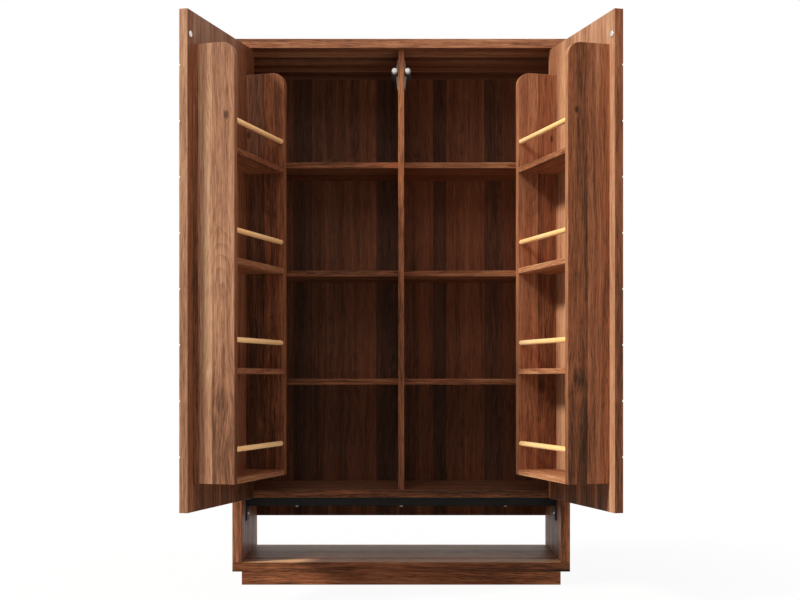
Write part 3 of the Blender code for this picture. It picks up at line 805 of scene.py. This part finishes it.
def add_turned(shapes, profile, segments, place):
    """Adds a turned shape to others that are already there."""
    lathe = bmesh.new()
    spin_profile(lathe, profile, segments)
    bmesh.ops.transform(lathe, matrix=place, verts=lathe.verts)
    spare = bpy.data.meshes.new("turned")
    lathe.to_mesh(spare)
    lathe.free()
    shapes.from_mesh(spare)
    bpy.data.meshes.remove(spare)


for side in ("left", "right"):
    for level, finish, slot, up in PIVOT_LEVELS:
        node = f"{side}_{level}_pivot"
        low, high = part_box(node)
        middle = (low.x + high.x) / 2
        face = high.z - PLATE_THICKNESS if up < 0 else low.z + PLATE_THICKNESS
        underside = min(face, face - up * PLATE_THICKNESS)
        upper_side = max(face, face - up * PLATE_THICKNESS)
        shapes = bmesh.new()
        plate = add_block(shapes, (low.x, low.y, underside), (high.x, high.y, upper_side))
        round_corners(shapes, plate, Z, PIVOT_CORNER)
        soften(shapes, PLATE_SOFTNESS)
        reach = (high.z - low.z) - PLATE_THICKNESS
        pin = [
            (0.0, reach),
            (PIN_RADIUS - PIN_CHAMFER, reach),
            (PIN_RADIUS, reach - PIN_CHAMFER),
            (PIN_RADIUS, RIVET_START),
            (PIN_RADIUS + RIVET_SPREAD, -RIVET_SINK),
            (0.0, -RIVET_SINK),
        ]
        seat = stand((middle, low.y + PIVOT_SETBACK, face), 0.0 if up > 0 else math.pi, "X")
        add_turned(shapes, pin, PIN_SIDES, seat)
        for back in PIVOT_SCREWS:
            seat = stand((middle, low.y + back, underside), math.pi, "X")
            add_turned(shapes, COUNTERSUNK, COUNTERSUNK_SIDES, seat)
        fit_piece(f"{side}_{level}_pivot_plate", shapes, finish, "cabinet", [node])

# Push latches: a moulded round housing on each face of the divider, held by two screws through tapered
# ears. A collar rims its mouth, where a sprung white plunger stands out to meet the door's strike. Collar
# and ears are coloured pale as a painted highlight on their rims.

MOULDED = {"coarse": 120.0, "fine": 1800.0, "bump": 0.12, "specular": 0.4}

grey_moulding = plain_finish(
    "grey_moulding",
    dark=(0.070, 0.070, 0.069),
    light=(0.115, 0.114, 0.110),
    rough=(0.42, 0.55),
    **MOULDED,
)
# Pale grey for the latch's collar and ears: a painted highlight on their rims.
painted_highlight_moulding = plain_finish(
    "painted_highlight_moulding",
    dark=(0.60, 0.60, 0.59),
    light=(0.68, 0.675, 0.665),
    rough=(0.40, 0.52),
    **MOULDED,
)
white_nylon = plain_finish(
    "white_nylon_moulding",
    dark=(0.78, 0.77, 0.755),
    light=(0.86, 0.85, 0.84),
    rough=(0.30, 0.42),
    coarse=200.0,
    fine=1500.0,
    bump=0.05,
)

EAR_ROOT = 0.0064
EAR_TIP = 0.0018
EAR_START = 0.0040
EAR_NARROWING = 0.60
EAR_HALF = 0.017
EAR_SCREW = 0.031
MOUTH_RADIUS = 0.0039
BORE_SPARE = 0.0060
LIP = 0.0006
HOUSING_ROUND = 0.0020
HOUSING_SIDES = 48
COLLAR_STEP = 0.0012
COLLAR_LENGTH = 0.0040
COLLAR_RISE = 0.0002
PAINTED_HIGHLIGHT, ZINC = 1, 2
TIP_SKIRT = 0.0030
TIP_NECK = 0.0035
TIP_SIDES = 40

for side, hand in (("left", -1), ("right", 1)):
    node = f"{side}_latch_housing"
    low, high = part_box(node)
    tip_low, tip_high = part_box(f"{side}_latch_plunger")
    wall = hand * min(abs(low.x), abs(high.x))
    axis = (tip_low.x + tip_high.x) / 2
    radius = max(abs(low.x), abs(high.x)) - abs(axis)
    height = (low.z + high.z) / 2
    middle = (low.y + high.y) / 2
    length = high.y - low.y
    bore = tip_high.y - low.y + BORE_SPARE
    collar = radius - COLLAR_STEP
    barrel = [
        (0.0, -bore),
        (MOUTH_RADIUS, -bore),
        (MOUTH_RADIUS, -LIP),
        (MOUTH_RADIUS + LIP, 0.0),
        (collar - LIP, 0.0),
        (collar, -LIP),
        (collar, -COLLAR_LENGTH),
        (radius - LIP, -COLLAR_LENGTH - COLLAR_RISE),
        (radius, -COLLAR_LENGTH - COLLAR_RISE - LIP),
        (radius, -length + HOUSING_ROUND),
        (radius - LIP, -length + LIP),
        (radius - HOUSING_ROUND, -length),
        (0.0, -length),
    ]
    shapes = bmesh.new()
    mouth = Vector((axis, low.y, height))
    add_turned(shapes, barrel, HOUSING_SIDES, stand(mouth, math.pi / 2, "X"))
    # The collar takes the pale grey as a painted highlight.
    for face in shapes.faces:
        spot = face.calc_center_median() - mouth
        if spot.y < COLLAR_LENGTH - COLLAR_RISE / 2 and spot.xz.length > MOUTH_RADIUS:
            face.material_index = PAINTED_HIGHLIGHT
    for rise in (-1, 1):
        root = height + rise * EAR_START
        tip = low.z if rise < 0 else high.z
        ear_length = abs(tip - height) - EAR_START
        corner = (wall, middle - EAR_HALF, min(root, tip))
        ear = add_block(shapes, corner, (wall + hand * EAR_ROOT, middle + EAR_HALF, max(root, tip)))
        # The ears take the pale grey as a painted highlight.
        for face in {face for vert in ear for face in vert.link_faces}:
            face.material_index = PAINTED_HIGHLIGHT
        for vert in ear:
            if abs(vert.co.z - tip) < TOUCHING:
                vert.co.y = middle + (vert.co.y - middle) * EAR_NARROWING
                if abs(vert.co.x - wall) > TOUCHING:
                    vert.co.x = wall + hand * EAR_TIP
        lifted = EAR_ROOT + (EAR_TIP - EAR_ROOT) * (EAR_SCREW - EAR_START) / ear_length
        slope = math.atan2(EAR_ROOT - EAR_TIP, ear_length)
        spot = (wall + hand * lifted, middle, height + rise * EAR_SCREW)
        seat = stand(spot, hand * (math.pi / 2 - rise * slope), "Y")
        first = len(shapes.faces)
        add_turned(shapes, COUNTERSUNK, COUNTERSUNK_SIDES, seat)
        shapes.faces.ensure_lookup_table()
        for face in shapes.faces[first:]:
            face.material_index = ZINC
    bmesh.ops.recalc_face_normals(shapes, faces=shapes.faces)
    housing = fit_piece(f"{side}_latch_body", shapes, grey_moulding, "cabinet", [node])
    housing.data.materials.append(painted_highlight_moulding)
    housing.data.materials.append(bright_zinc)

    node = f"{side}_latch_plunger"
    low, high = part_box(node)
    tip_radius = (high.x - low.x) / 2
    length = high.y - low.y
    profile = [
        (0.0, 0.0),
        (tip_radius * 0.45, -0.0001),
        (tip_radius * 0.75, -0.0004),
        (tip_radius * 0.93, -0.0010),
        (tip_radius, -0.0018),
        (tip_radius, -TIP_SKIRT),
        (tip_radius * 0.95, -TIP_SKIRT - 0.0005),
        (TIP_NECK, -TIP_SKIRT - 0.0005),
        (TIP_NECK, -length + 0.0005),
        (TIP_NECK - 0.0005, -length),
        (0.0, -length),
    ]
    shapes = bmesh.new()
    spin_profile(shapes, profile, TIP_SIDES)
    seat = stand(((low.x + high.x) / 2, low.y, (low.z + high.z) / 2), math.pi / 2, "X")
    fit_piece(f"{side}_latch_tip", shapes, white_nylon, f"{side}_plunger", [node], seat)

# Doors: 22 mm leaves set between the sides, with eight vee grooves across the outer face that part it in
# planks. The inner face has upright veneer, and turned bushes in the end grain run on the pivots.

hangs = {}
for joint in frame["joints"]:
    if joint["type"] == "hinge":
        swing = -joint["axis"][2] * math.radians(joint["range_deg"][1])
        hangs[joint["child"]] = stand((*joint["pos_m"][:2], 0.0), swing, "Z")
DOORS = (
    ("left", 1, "left_door", hangs["left_door"]),
    ("right", -1, "right_door", hangs["right_door"]),
)


def shut_box(node, hang):
    """A door piece's corners as it lies on the shut door, measured from the pivot axis."""
    back = hang.inverted()
    spots = [back @ vert.co for vert in frame["nodes"][node].data.vertices]
    low = Vector([min(spot[axis] for spot in spots) for axis in range(3)])
    high = Vector([max(spot[axis] for spot in spots) for axis in range(3)])
    return low, high


def edges_where(shapes, test):
    """The edges with both ends where the test holds."""
    return [edge for edge in shapes.edges if all(test(vert.co) for vert in edge.verts)]


GROOVES = 8
GROOVE_DEPTH = 0.0030
HINGE_EDGE_RADIUS = 0.0035
# The left door's edge band is paler and yellower as a painted sheen; the right's is the plain band.
DOOR_BAND = {"left": (0.57, 0.85), "right": (0.50, 0.06)}
# Painted shade under the rack at the foot of each leaf, painted light on the lower tiers, and a little
# painted shade above them.
INNER_PAINTED_LIGHT_AND_SHADE = {
    "left": ((0.305, -0.25), (0.312, 0.09), (0.84, 0.09), (0.86, 0.02), (1.10, 0.02), (1.12, 0.0)),
    "right": ((0.305, -0.17), (0.312, 0.13), (0.84, 0.13), (0.86, -0.01), (1.10, -0.01), (1.12, 0.0)),
}
# The two sides differ as painted light and shade: the right door's edge leaf is paler and yellower where the
# key lamp lights it, the left's darker and redder in shade, and the right's tone steps count for more.
INNER_LEAVES = {
    "left": [
        (0.205, 0.42, 0.05, STRAIGHT_GRAIN, 0.04, 1.0),
        (0.155, 0.56, 0.50, -STRAIGHT_GRAIN, 0.08, 1.0),
        (0.20, 0.54, 0.60, 0.02, 0.14, 1.0),
        (0.20, 0.54, 0.60, 0.02, 0.14, 1.0),
        (0.16, 0.54, 0.60, 0.02, 0.14, 1.0),
        (0.08, 0.54, 0.10, STRAIGHT_GRAIN, 0.0, 0.0),
    ],
    "right": [
        (0.12, 0.48, 0.30, STRAIGHT_GRAIN, 0.0, 0.75),
        (0.16, 0.58, 0.50, -STRAIGHT_GRAIN, 0.08, 1.0),
        (0.24, 0.51, 0.60, 0.02, 0.14, 1.45),
        (0.24, 0.51, 0.60, 0.02, 0.14, 1.45),
        (0.16, 0.51, 0.60, 0.02, 0.14, 1.45),
        (0.08, 0.60, 0.65, STRAIGHT_GRAIN, 0.0, 0.0),
    ],
}
INNER_STRENGTH = 0.8
PLANK_TONE = 0.48
PLANK_SPREAD = 0.05
PLANK_WARMTH = 0.25
PLANK_LEAN = 0.06
PLANK_BAND = (0.54, 0.15)
FRONT_TILT = 0.3

for side, hand, body, hang in DOORS:
    node = f"{side}_door_panel"
    low, high = shut_box(node, hang)
    shapes = bmesh.new()
    add_block(shapes, low, high)
    hinge = low.x if hand > 0 else high.x
    outer = edges_where(shapes, lambda spot: max(abs(spot.x - hinge), abs(spot.y - low.y)) < TOUCHING)
    round_edges(shapes, outer, HINGE_EDGE_RADIUS, segments=8)
    soften(shapes, EDGE_SOFTNESS)
    plank = (high.z - low.z) / (GROOVES + 1)
    lines = [low.z + plank * (count + 1) for count in range(GROOVES)]
    for line in lines:
        slice_board(shapes, Z, (line - GROOVE_DEPTH, line, line + GROOVE_DEPTH))
    for vert in shapes.verts:
        if any(abs(vert.co.z - line) < TOUCHING for line in lines):
            vert.co.y = max(vert.co.y, low.y + GROOVE_DEPTH)
    lay_veneer(
        shapes, low, high, Z, INNER_LEAVES[side], 71, DOOR_BAND[side], hand,
        fade=INNER_PAINTED_LIGHT_AND_SHADE[side], band_step_share=0.0, strength=INNER_STRENGTH,
    )
    shapes.normal_update()
    fronts = [face for face in shapes.faces if face.normal.y < -FRONT_TILT]
    draw = random.Random(73)
    planks = []
    for _ in range(GROOVES + 1):
        tone = PLANK_TONE + draw.uniform(-PLANK_SPREAD, PLANK_SPREAD)
        warmth = draw.uniform(0.0, PLANK_WARMTH)
        heart = draw.choice((0.0, STRAIGHT_GRAIN))
        planks.append((1 / (GROOVES + 1), tone, warmth, heart, PLANK_LEAN, 0.0))
    lay_veneer(shapes, low, high, X, planks, 72, PLANK_BAND, hand, faces=fronts, thick=Y)
    fit_piece(f"{side}_door_leaf", shapes, walnut, body, [node], hang)

# Racks on the doors: two boards on edge with the upper free corner rounded, and four shelves between them,
# all doweled together and screwed on through the leaf. Free edges have a paler band, partly the band's own
# tone and partly a painted highlight where the rounded edges catch light.

RACK_CORNER = 0.032
RACK_BAND = (0.56, 0.25)
RACK_STRENGTH = {"left": 0.85, "right": 0.80}
# Painted shade: the near boards darker towards the bottom.
NEAR_PAINTED_SHADE = ((0.40, -0.20), (0.60, -0.03), (0.90, 0.04), (1.05, -0.02), (1.25, -0.01))
# On the left board the first two leaves, dark then middling, are a painted shadow of the door's meeting edge
# with its soft rim, and the warmer leaves after them carry a painted sheen.
NEAR_LEAVES = {
    "left": [
        (0.125, 0.39, 0.10, 0.259, 0.0, 0.0),
        (0.045, 0.53, 0.35, 0.2725, 0.0, 0.1),
        (0.09, 0.66, 0.62, 0.2773, 0.0, 0.3),
        (0.08, 0.73, 0.55, -0.0411, 0.0, 0.5),
        (0.125, 0.645, 0.80, -0.0325, -0.06, 0.5),
        (0.06, 0.42, 0.70, -0.0192, 0.0, 0.8),
        (0.475, 0.49, 0.80, -0.0128, 0.03, 0.8),
    ],
    "right": [
        (0.34, 0.48, 0.10, 0.259, 0.0, 0.0),
        (0.188, 0.385, 0.10, 0.2957, 0.0, 0.0),
        (0.472, 0.33, 0.0, 0.050, 0.03, 0.8),
    ],
}
# Painted shade: the far boards darker towards the bottom.
FAR_PAINTED_SHADE = ((0.30, -0.13), (0.45, -0.12), (0.60, -0.08), (1.08, -0.07), (1.14, 0.02), (1.35, 0.02))
# The left board's leaves are darker than the right's as painted shade, where the left door keeps the key lamp
# off them.
FAR_LEAVES = {
    "left": [(0.48, 0.35, 0.50, STRAIGHT_GRAIN, 0.0, 1.0), (0.52, 0.38, 0.05, -0.025, 0.04, 1.0)],
    "right": [(0.48, 0.48, 0.20, STRAIGHT_GRAIN, 0.0, 1.0), (0.52, 0.54, 0.25, -0.025, 0.0, 1.0)],
}
KNOTS = {
    "left_rack_meeting_side": ((0.66, 0.50, 3.0), (0.80, 1.177, 1.0)),
    "left_rack_hinge_side": ((0.07, 1.190, 0.8),),
    "right_rack_meeting_side": ((0.72, 0.545, 2.6), (0.80, 1.188, 0.8)),
    "right_rack_hinge_side": ((0.36, 0.53, 1.8), (0.12, 1.180, 0.8)),
}
RACK_SIDES = (
    ("rack_meeting_side", NEAR_LEAVES, NEAR_PAINTED_SHADE, 81),
    ("rack_hinge_side", FAR_LEAVES, FAR_PAINTED_SHADE, 82),
)
TIERS = (1, 2, 3, 4)
TIER_BAND = (0.54, 0.20)

for side, hand, body, hang in DOORS:
    for part, leaves, fade, seed in RACK_SIDES:
        node = f"{side}_{part}"
        low, high = shut_box(node, hang)
        shapes = bmesh.new()
        add_block(shapes, low, high)
        free = edges_where(shapes, lambda spot: min(spot.y - high.y, spot.z - high.z) > -TOUCHING)
        round_edges(shapes, free, RACK_CORNER, segments=14)
        soften(shapes, EDGE_SOFTNESS)
        knots = [(low.y + (high.y - low.y) * share, place, size) for share, place, size in KNOTS[node]]
        lay_veneer(
            shapes, low, high, Z, leaves[side], seed, RACK_BAND, hand,
            knots=knots, fade=fade, strength=RACK_STRENGTH[side],
        )
        fit_piece(f"{node}_board", shapes, walnut, body, [node], hang)
    for tier in TIERS:
        node = f"{side}_rack_shelf_{tier}"
        low, high = shut_box(node, hang)
        shapes = soft_board(low, high)
        seed = 90 + tier
        leaves = deal_leaves(high.y - low.y, tone=0.50, seed=seed)
        lay_veneer(shapes, low, high, X, leaves, seed, TIER_BAND, hand)
        fit_piece(f"{node}_board", shapes, walnut, body, [node], hang)

# Rods: four lengths of 12 mm drawn brass on each rack, brushed along their length and lacquered. They sit
# in blind holes in the rack's sides and keep jars on its shelves.

BRASS_DEEP = (0.95, 0.65, 0.305, 1.0)
BRASS_PALE = (0.95, 0.71, 0.405, 1.0)
LACQUER_SHARE = 0.15
LACQUER_ROUGHNESS = 0.35

brass, tree, shader = start_finish("brushed_brass", metallic=1.0)
shader.inputs["Coat Weight"].default_value = LACQUER_SHARE
shader.inputs["Coat Roughness"].default_value = LACQUER_ROUGHNESS
grain = place_node(tree, "Attribute", {}, attribute_name="grain").outputs["Vector"]
brushed = streaks(tree, grain, 1500.0, 30.0, 3.0)
clouded = ease(tree, streaks(tree, grain, 60.0, 9.0, 3.0), 0.3, 0.7)
tree.links.new(blend_colours(tree, clouded, BRASS_DEEP, BRASS_PALE), shader.inputs["Base Color"])
tree.links.new(ease(tree, brushed, 0.30, 0.70, 0.86, 0.98), shader.inputs["Roughness"])
raise_bump(tree, shader, brushed, strength=0.10, distance=0.0001)

ROD_SIDES = 40
ROD_ROUND = 0.0010
ROD_SHOULDER = 0.0003
ROD_EXTRA = 0.0004
BAR_LENGTH = 2.3

for side, _, body, hang in DOORS:
    for tier in TIERS:
        node = f"{side}_rack_rod_{tier}"
        low, high = shut_box(node, hang)
        radius = (high.z - low.z) / 2 + ROD_EXTRA
        end = (high.x - low.x) / 2
        half = [
            (0.0, end),
            (radius - ROD_ROUND, end),
            (radius - ROD_SHOULDER, end - ROD_SHOULDER),
            (radius, end - ROD_ROUND),
        ]
        shapes = bmesh.new()
        mirrored = [(width, -height) for width, height in reversed(half)]
        spin_profile(shapes, half + [(radius, 0.0)] + mirrored, ROD_SIDES)
        grain_layer = shapes.loops.layers.float_vector.new("grain")
        for face in shapes.faces:
            for loop in face.loops:
                loop[grain_layer] = loop.vert.co + Vector((0, 0, BAR_LENGTH * tier))
        seat = stand((low + high) / 2, math.pi / 2, "Y")
        fit_piece(f"{side}_brass_rod_{tier}", shapes, brass, body, [node], hang @ seat)

# Door fittings: a bright zinc-plated steel strike on a stud near the top of the meeting edge, which the
# latch holds and pushes, and a brass bush pressed into each end of the leaf for the pivots.

bush_brass = plain_finish(
    "turned_brass",
    dark=(0.62, 0.40, 0.17),
    light=(0.74, 0.50, 0.24),
    rough=(0.24, 0.36),
    coarse=250.0,
    fine=2600.0,
    bump=0.08,
    metallic=1.0,
)

STUD_RADIUS = 0.0020
DISC_THICKNESS = 0.0014
PIN_PLAY = 0.0003
BUSH_MOUTH = 0.0004
BUSH_CHAMFER = 0.0003
FITTING_SIDES = 40

for side, _, body, hang in DOORS:
    node = f"{side}_strike"
    low, high = shut_box(node, hang)
    radius = (high.x - low.x) / 2
    profile = [
        (0.0, -0.0006),
        (0.0012, -0.0005),
        (STUD_RADIUS, -0.0001),
        (radius * 0.78, 0.0),
        (radius * 0.93, -0.0003),
        (radius, -0.0009),
        (radius, -DISC_THICKNESS),
        (STUD_RADIUS, -DISC_THICKNESS),
        (STUD_RADIUS, low.y - high.y),
        (0.0, low.y - high.y),
    ]
    shapes = bmesh.new()
    spin_profile(shapes, profile, FITTING_SIDES)
    seat = stand(((low.x + high.x) / 2, high.y, (low.z + high.z) / 2), -math.pi / 2, "X")
    fit_piece(f"{side}_strike_disc", shapes, bright_zinc, body, [node], hang @ seat)
    for level in ("top", "bottom"):
        node = f"{side}_{level}_bush"
        low, high = shut_box(node, hang)
        outer = (high.x - low.x) / 2
        inner = PIN_RADIUS + PIN_PLAY
        tall = high.z - low.z
        ring = [
            (inner, BUSH_MOUTH),
            (inner + BUSH_MOUTH, 0.0),
            (outer - BUSH_CHAMFER, 0.0),
            (outer, BUSH_CHAMFER),
            (outer, tall - BUSH_CHAMFER),
            (outer - BUSH_CHAMFER, tall),
            (inner + BUSH_MOUTH, tall),
            (inner, tall - BUSH_MOUTH),
            (inner, BUSH_MOUTH),
        ]
        shapes = bmesh.new()
        spin_profile(shapes, ring, FITTING_SIDES)
        seat = Matrix.Translation(((low.x + high.x) / 2, (low.y + high.y) / 2, low.z))
        fit_piece(f"{side}_{level}_bush_ring", shapes, bush_brass, body, [node], hang @ seat)

# Stage: a white studio floor and surround. Diffuse light from them is dimmer than they look to the eye, to
# the mirror of metal and through glass, and the floor still shows the cabinet's shadow.

SURROUND_LIGHT = 0.22
FLOOR_LIGHT = 0.46
FLOOR_ROUGHNESS = 0.9
FLOOR_REACH = 30.0
FLOOR_SHADOW = 0.06
SHADOW_NEAR = 0.5
SHADOW_FAR = 1.6
WHITE = (1.0, 1.0, 1.0, 1.0)
SHADED_WHITE = (0.90, 0.90, 0.90, 1.0)


def plain_sight(tree):
    """One for rays that the eye sees, straight, in a mirror or through glass, and zero for other light."""
    rays = place_node(tree, "LightPath", {}).outputs
    seen = reckon(tree, "MAXIMUM", rays["Is Camera Ray"], rays["Is Glossy Ray"])
    return reckon(tree, "MAXIMUM", seen, rays["Is Transmission Ray"])


stage_floor = bmesh.new()
bmesh.ops.create_grid(stage_floor, x_segments=2, y_segments=2, size=FLOOR_REACH)
mesh = bpy.data.meshes.new("studio_floor")
stage_floor.to_mesh(mesh)
stage_floor.free()
floor = set_up("studio_floor", mesh)
floor_paint, tree, shader = start_finish("studio_white", specular=0.0)
shader.inputs["Roughness"].default_value = FLOOR_ROUGHNESS
shader.inputs["Base Color"].default_value = (FLOOR_LIGHT, FLOOR_LIGHT, FLOOR_LIGHT, 1.0)
shadowed = place_node(tree, "BsdfDiffuse", {"Color": SHADED_WHITE})
bright = place_node(tree, "Emission", {"Color": WHITE, "Strength": 1.0})
where = place_node(tree, "TexCoord", {}).outputs["Object"]
spread = place_node(tree, "VectorMath", {0: where}, operation="LENGTH").outputs["Value"]
near = ease(tree, spread, SHADOW_NEAR, SHADOW_FAR, FLOOR_SHADOW, 0.0)
faint = place_node(tree, "MixShader", {0: near, 1: bright.outputs[0], 2: shadowed.outputs[0]})
look = place_node(tree, "MixShader", {0: plain_sight(tree), 1: shader.outputs[0], 2: faint.outputs[0]})
tree.links.new(look.outputs[0], tree.nodes["Material Output"].inputs["Surface"])
mesh.materials.append(floor_paint)

world = bpy.data.worlds.new("studio_surround")
world.use_nodes = True
bpy.context.scene.world = world
tree = world.node_tree
strength = place_node(tree, "MapRange", {"Value": plain_sight(tree), "To Min": SURROUND_LIGHT, "To Max": 1.0})
backdrop = tree.nodes["Background"]
backdrop.inputs["Color"].default_value = WHITE
tree.links.new(strength.outputs[0], backdrop.inputs["Strength"])

# Key light: one large soft lamp well to the left and above, which lights the right door's inner face, passes
# over and under the left door, and leaves the inside of the cabinet in soft shade.

KEY_BEARING = math.radians(66)
KEY_RISE = math.radians(40)
KEY_SOFTNESS = math.radians(10)
KEY_STRENGTH = 3.8
KEY_COLOUR = (0.98, 1.0, 0.89)
KEY_DISTANCE = 5.0

level = math.cos(KEY_RISE)
reach = Vector((-math.sin(KEY_BEARING) * level, -math.cos(KEY_BEARING) * level, math.sin(KEY_RISE)))
lamp = bpy.data.lights.new("key_light", "SUN")
lamp.angle = KEY_SOFTNESS
lamp.energy = KEY_STRENGTH
lamp.color = KEY_COLOUR
key = set_up("key_light", lamp)
key.location = reach * KEY_DISTANCE
key.rotation_euler = (-reach).to_track_quat("-Z", "Y").to_euler()

# Fill light: a wide soft panel in front of the cabinet and above it, so that the upper shelves get more light
# than the lower ones.

FILL_PLACE = Vector((-0.3, -2.2, 2.6))
FILL_AIM = Vector((0.0, 0.0, 1.0))
FILL_SIZE = 1.6
FILL_POWER = 14.0

lamp = bpy.data.lights.new("fill_light", "AREA")
lamp.shape = "SQUARE"
lamp.size = FILL_SIZE
lamp.energy = FILL_POWER
fill = set_up("fill_light", lamp)
fill.location = FILL_PLACE
fill.rotation_euler = (FILL_AIM - FILL_PLACE).to_track_quat("-Z", "Y").to_euler()

# Camera: level with the lower shelves, straight in front of the open cabinet, with the lens shifted up so
# that upright edges stay upright.

CAMERA_HEIGHT = 0.550
CAMERA_DISTANCE = 3.730
LENS_LENGTH = 59.8
SENSOR_WIDTH = 36.0
LENS_SHIFT = (-0.0015, 0.098)

lens = bpy.data.cameras.new("front_view")
lens.lens = LENS_LENGTH
lens.sensor_width = SENSOR_WIDTH
lens.shift_x, lens.shift_y = LENS_SHIFT
camera = set_up("front_view", lens)
camera.location = (0.0, -CAMERA_DISTANCE, CAMERA_HEIGHT)
camera.rotation_euler = (math.pi / 2, 0.0, 0.0)
bpy.context.scene.camera = camera
bpy.context.scene.view_settings.view_transform = "Standard"
